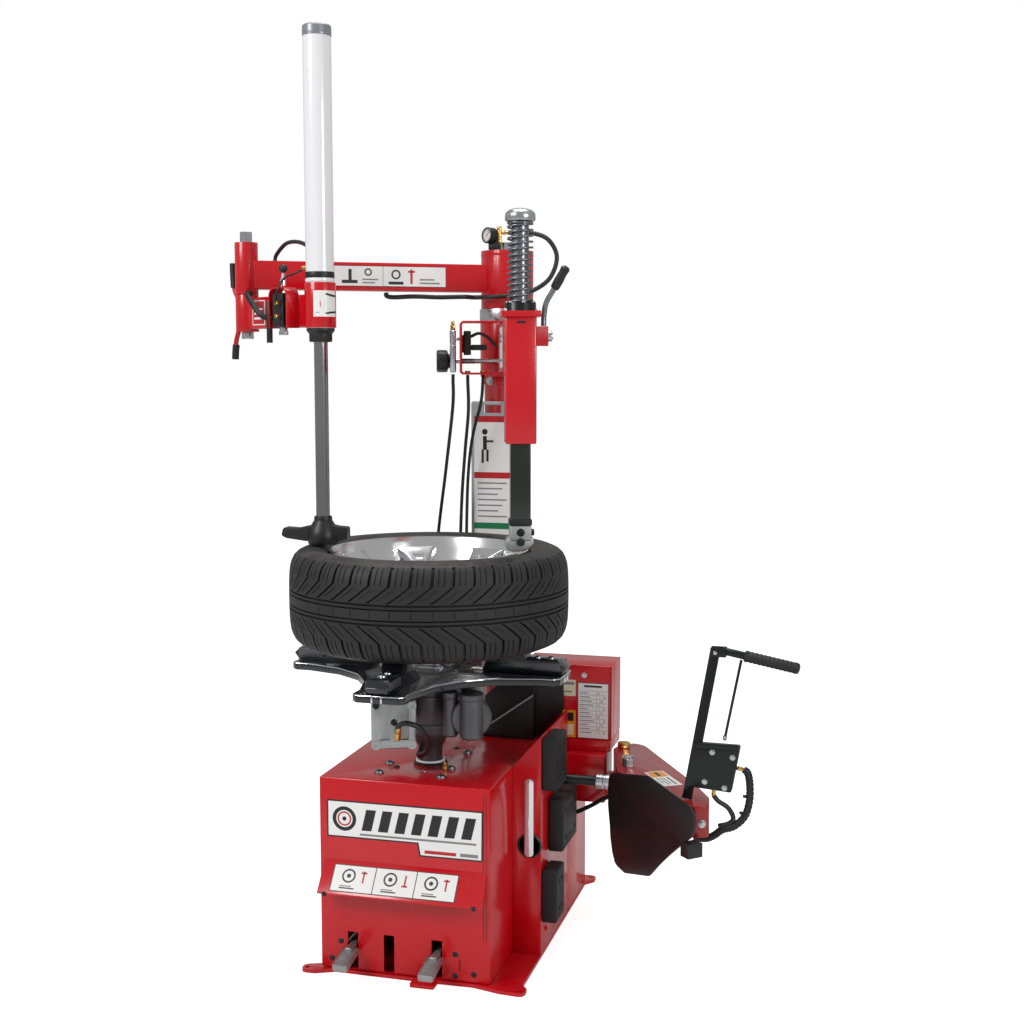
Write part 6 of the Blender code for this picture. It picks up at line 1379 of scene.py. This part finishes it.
    rod = coat(bar((-0.030, ROD_Y, ROD_Z), (0.376, ROD_Y, ROD_Z), 0.0120, sides=48), DARK_STEEL)
    sleeve = coat(turned([(0.0180, 0.0385), (0.0185, 0.0370), (0.0185, 0.0240), (0.0172, 0.0225),
                          (0.0172, 0.0190), (0.0185, 0.0175), (0.0185, 0.0015), (0.0170, 0.0),
                          (0.0110, 0.0), (0.0110, 0.0385)], (0.3740, ROD_Y, ROD_Z), (1, 0, 0), 56), ZINC)
    place(join(rod, sleeve, coat(bar((0.370, ROD_Y, ROD_Z), (0.409, ROD_Y, ROD_Z), 0.0115), DARK_STEEL)),
          "loosener_rod", "bead_rod", "black_steel", "bead_rod")


def build_grip():
    stub = coat(bar((0.7045, HANDLE_Y, 0.7897), (0.760, HANDLE_Y, 0.7790), 0.0085, sides=40), DARK_STEEL)
    axis = Vector((0.120, 0.0, -0.0230))
    profile = [(0.000, 0.0), (0.0110, 0.0), (0.0132, 0.003)]
    for number in range(11):
        height = 0.008 + number * 0.0095
        profile += [(0.0126, height), (0.0118, height + 0.0015), (0.0118, height + 0.0045),
                    (0.0126, height + 0.0060)]
    profile += [(0.0126, 0.1150), (0.0110, 0.1200), (0.0050, 0.1222), (0.000, 0.1222)]
    sleeve = coat(turned(profile, (0.752, HANDLE_Y, 0.7805), axis, 48), RUBBER)
    cheeks = [coat(block((0.678, HANDLE_Y + side - 0.0009, 0.7765),
                         (0.713, HANDLE_Y + side + 0.0009, 0.7975), 0.0006), DARK_STEEL)
              for side in (-0.0096, 0.0096)]
    hinge = coat(bar((0.689, HANDLE_Y - 0.0125, 0.786), (0.689, HANDLE_Y + 0.0125, 0.786), 0.0048, sides=6),
                 ZINC)
    place(join(stub, sleeve, *cheeks, hinge), "squeeze_grip", "grip_lever", "black_rubber", "grip_lever")
    rod = coat(bar((0.7452, HANDLE_Y, 0.7710), (0.7110, HANDLE_Y, 0.5885), 0.0031, sides=20), DARK_STEEL)
    nut = coat(bar((0.7128, HANDLE_Y, 0.5990), (0.7112, HANDLE_Y, 0.5905), 0.0050, sides=6), ZINC)
    place(join(rod, nut), "valve_pull_rod", "trigger_rod", "zinc_plate", "trigger_rod")


# ---------------------------------------------------------------- assembly
def build_machine():
    build_tyre()
    build_rim()
    build_cabinet()
    build_side_housing()
    build_rear_housing()
    build_visor()
    build_front_sign()
    build_tower()
    build_pedals()
    build_star()
    build_clamps()
    build_swing_arm()
    build_slide()
    build_mount_head()
    build_upper_arm()
    build_gauge()
    build_arm_hose()
    build_link_arm()
    build_press()
    build_control_hoses()
    build_bead_loosener()
    build_grip()


build_studio()
build_machine()
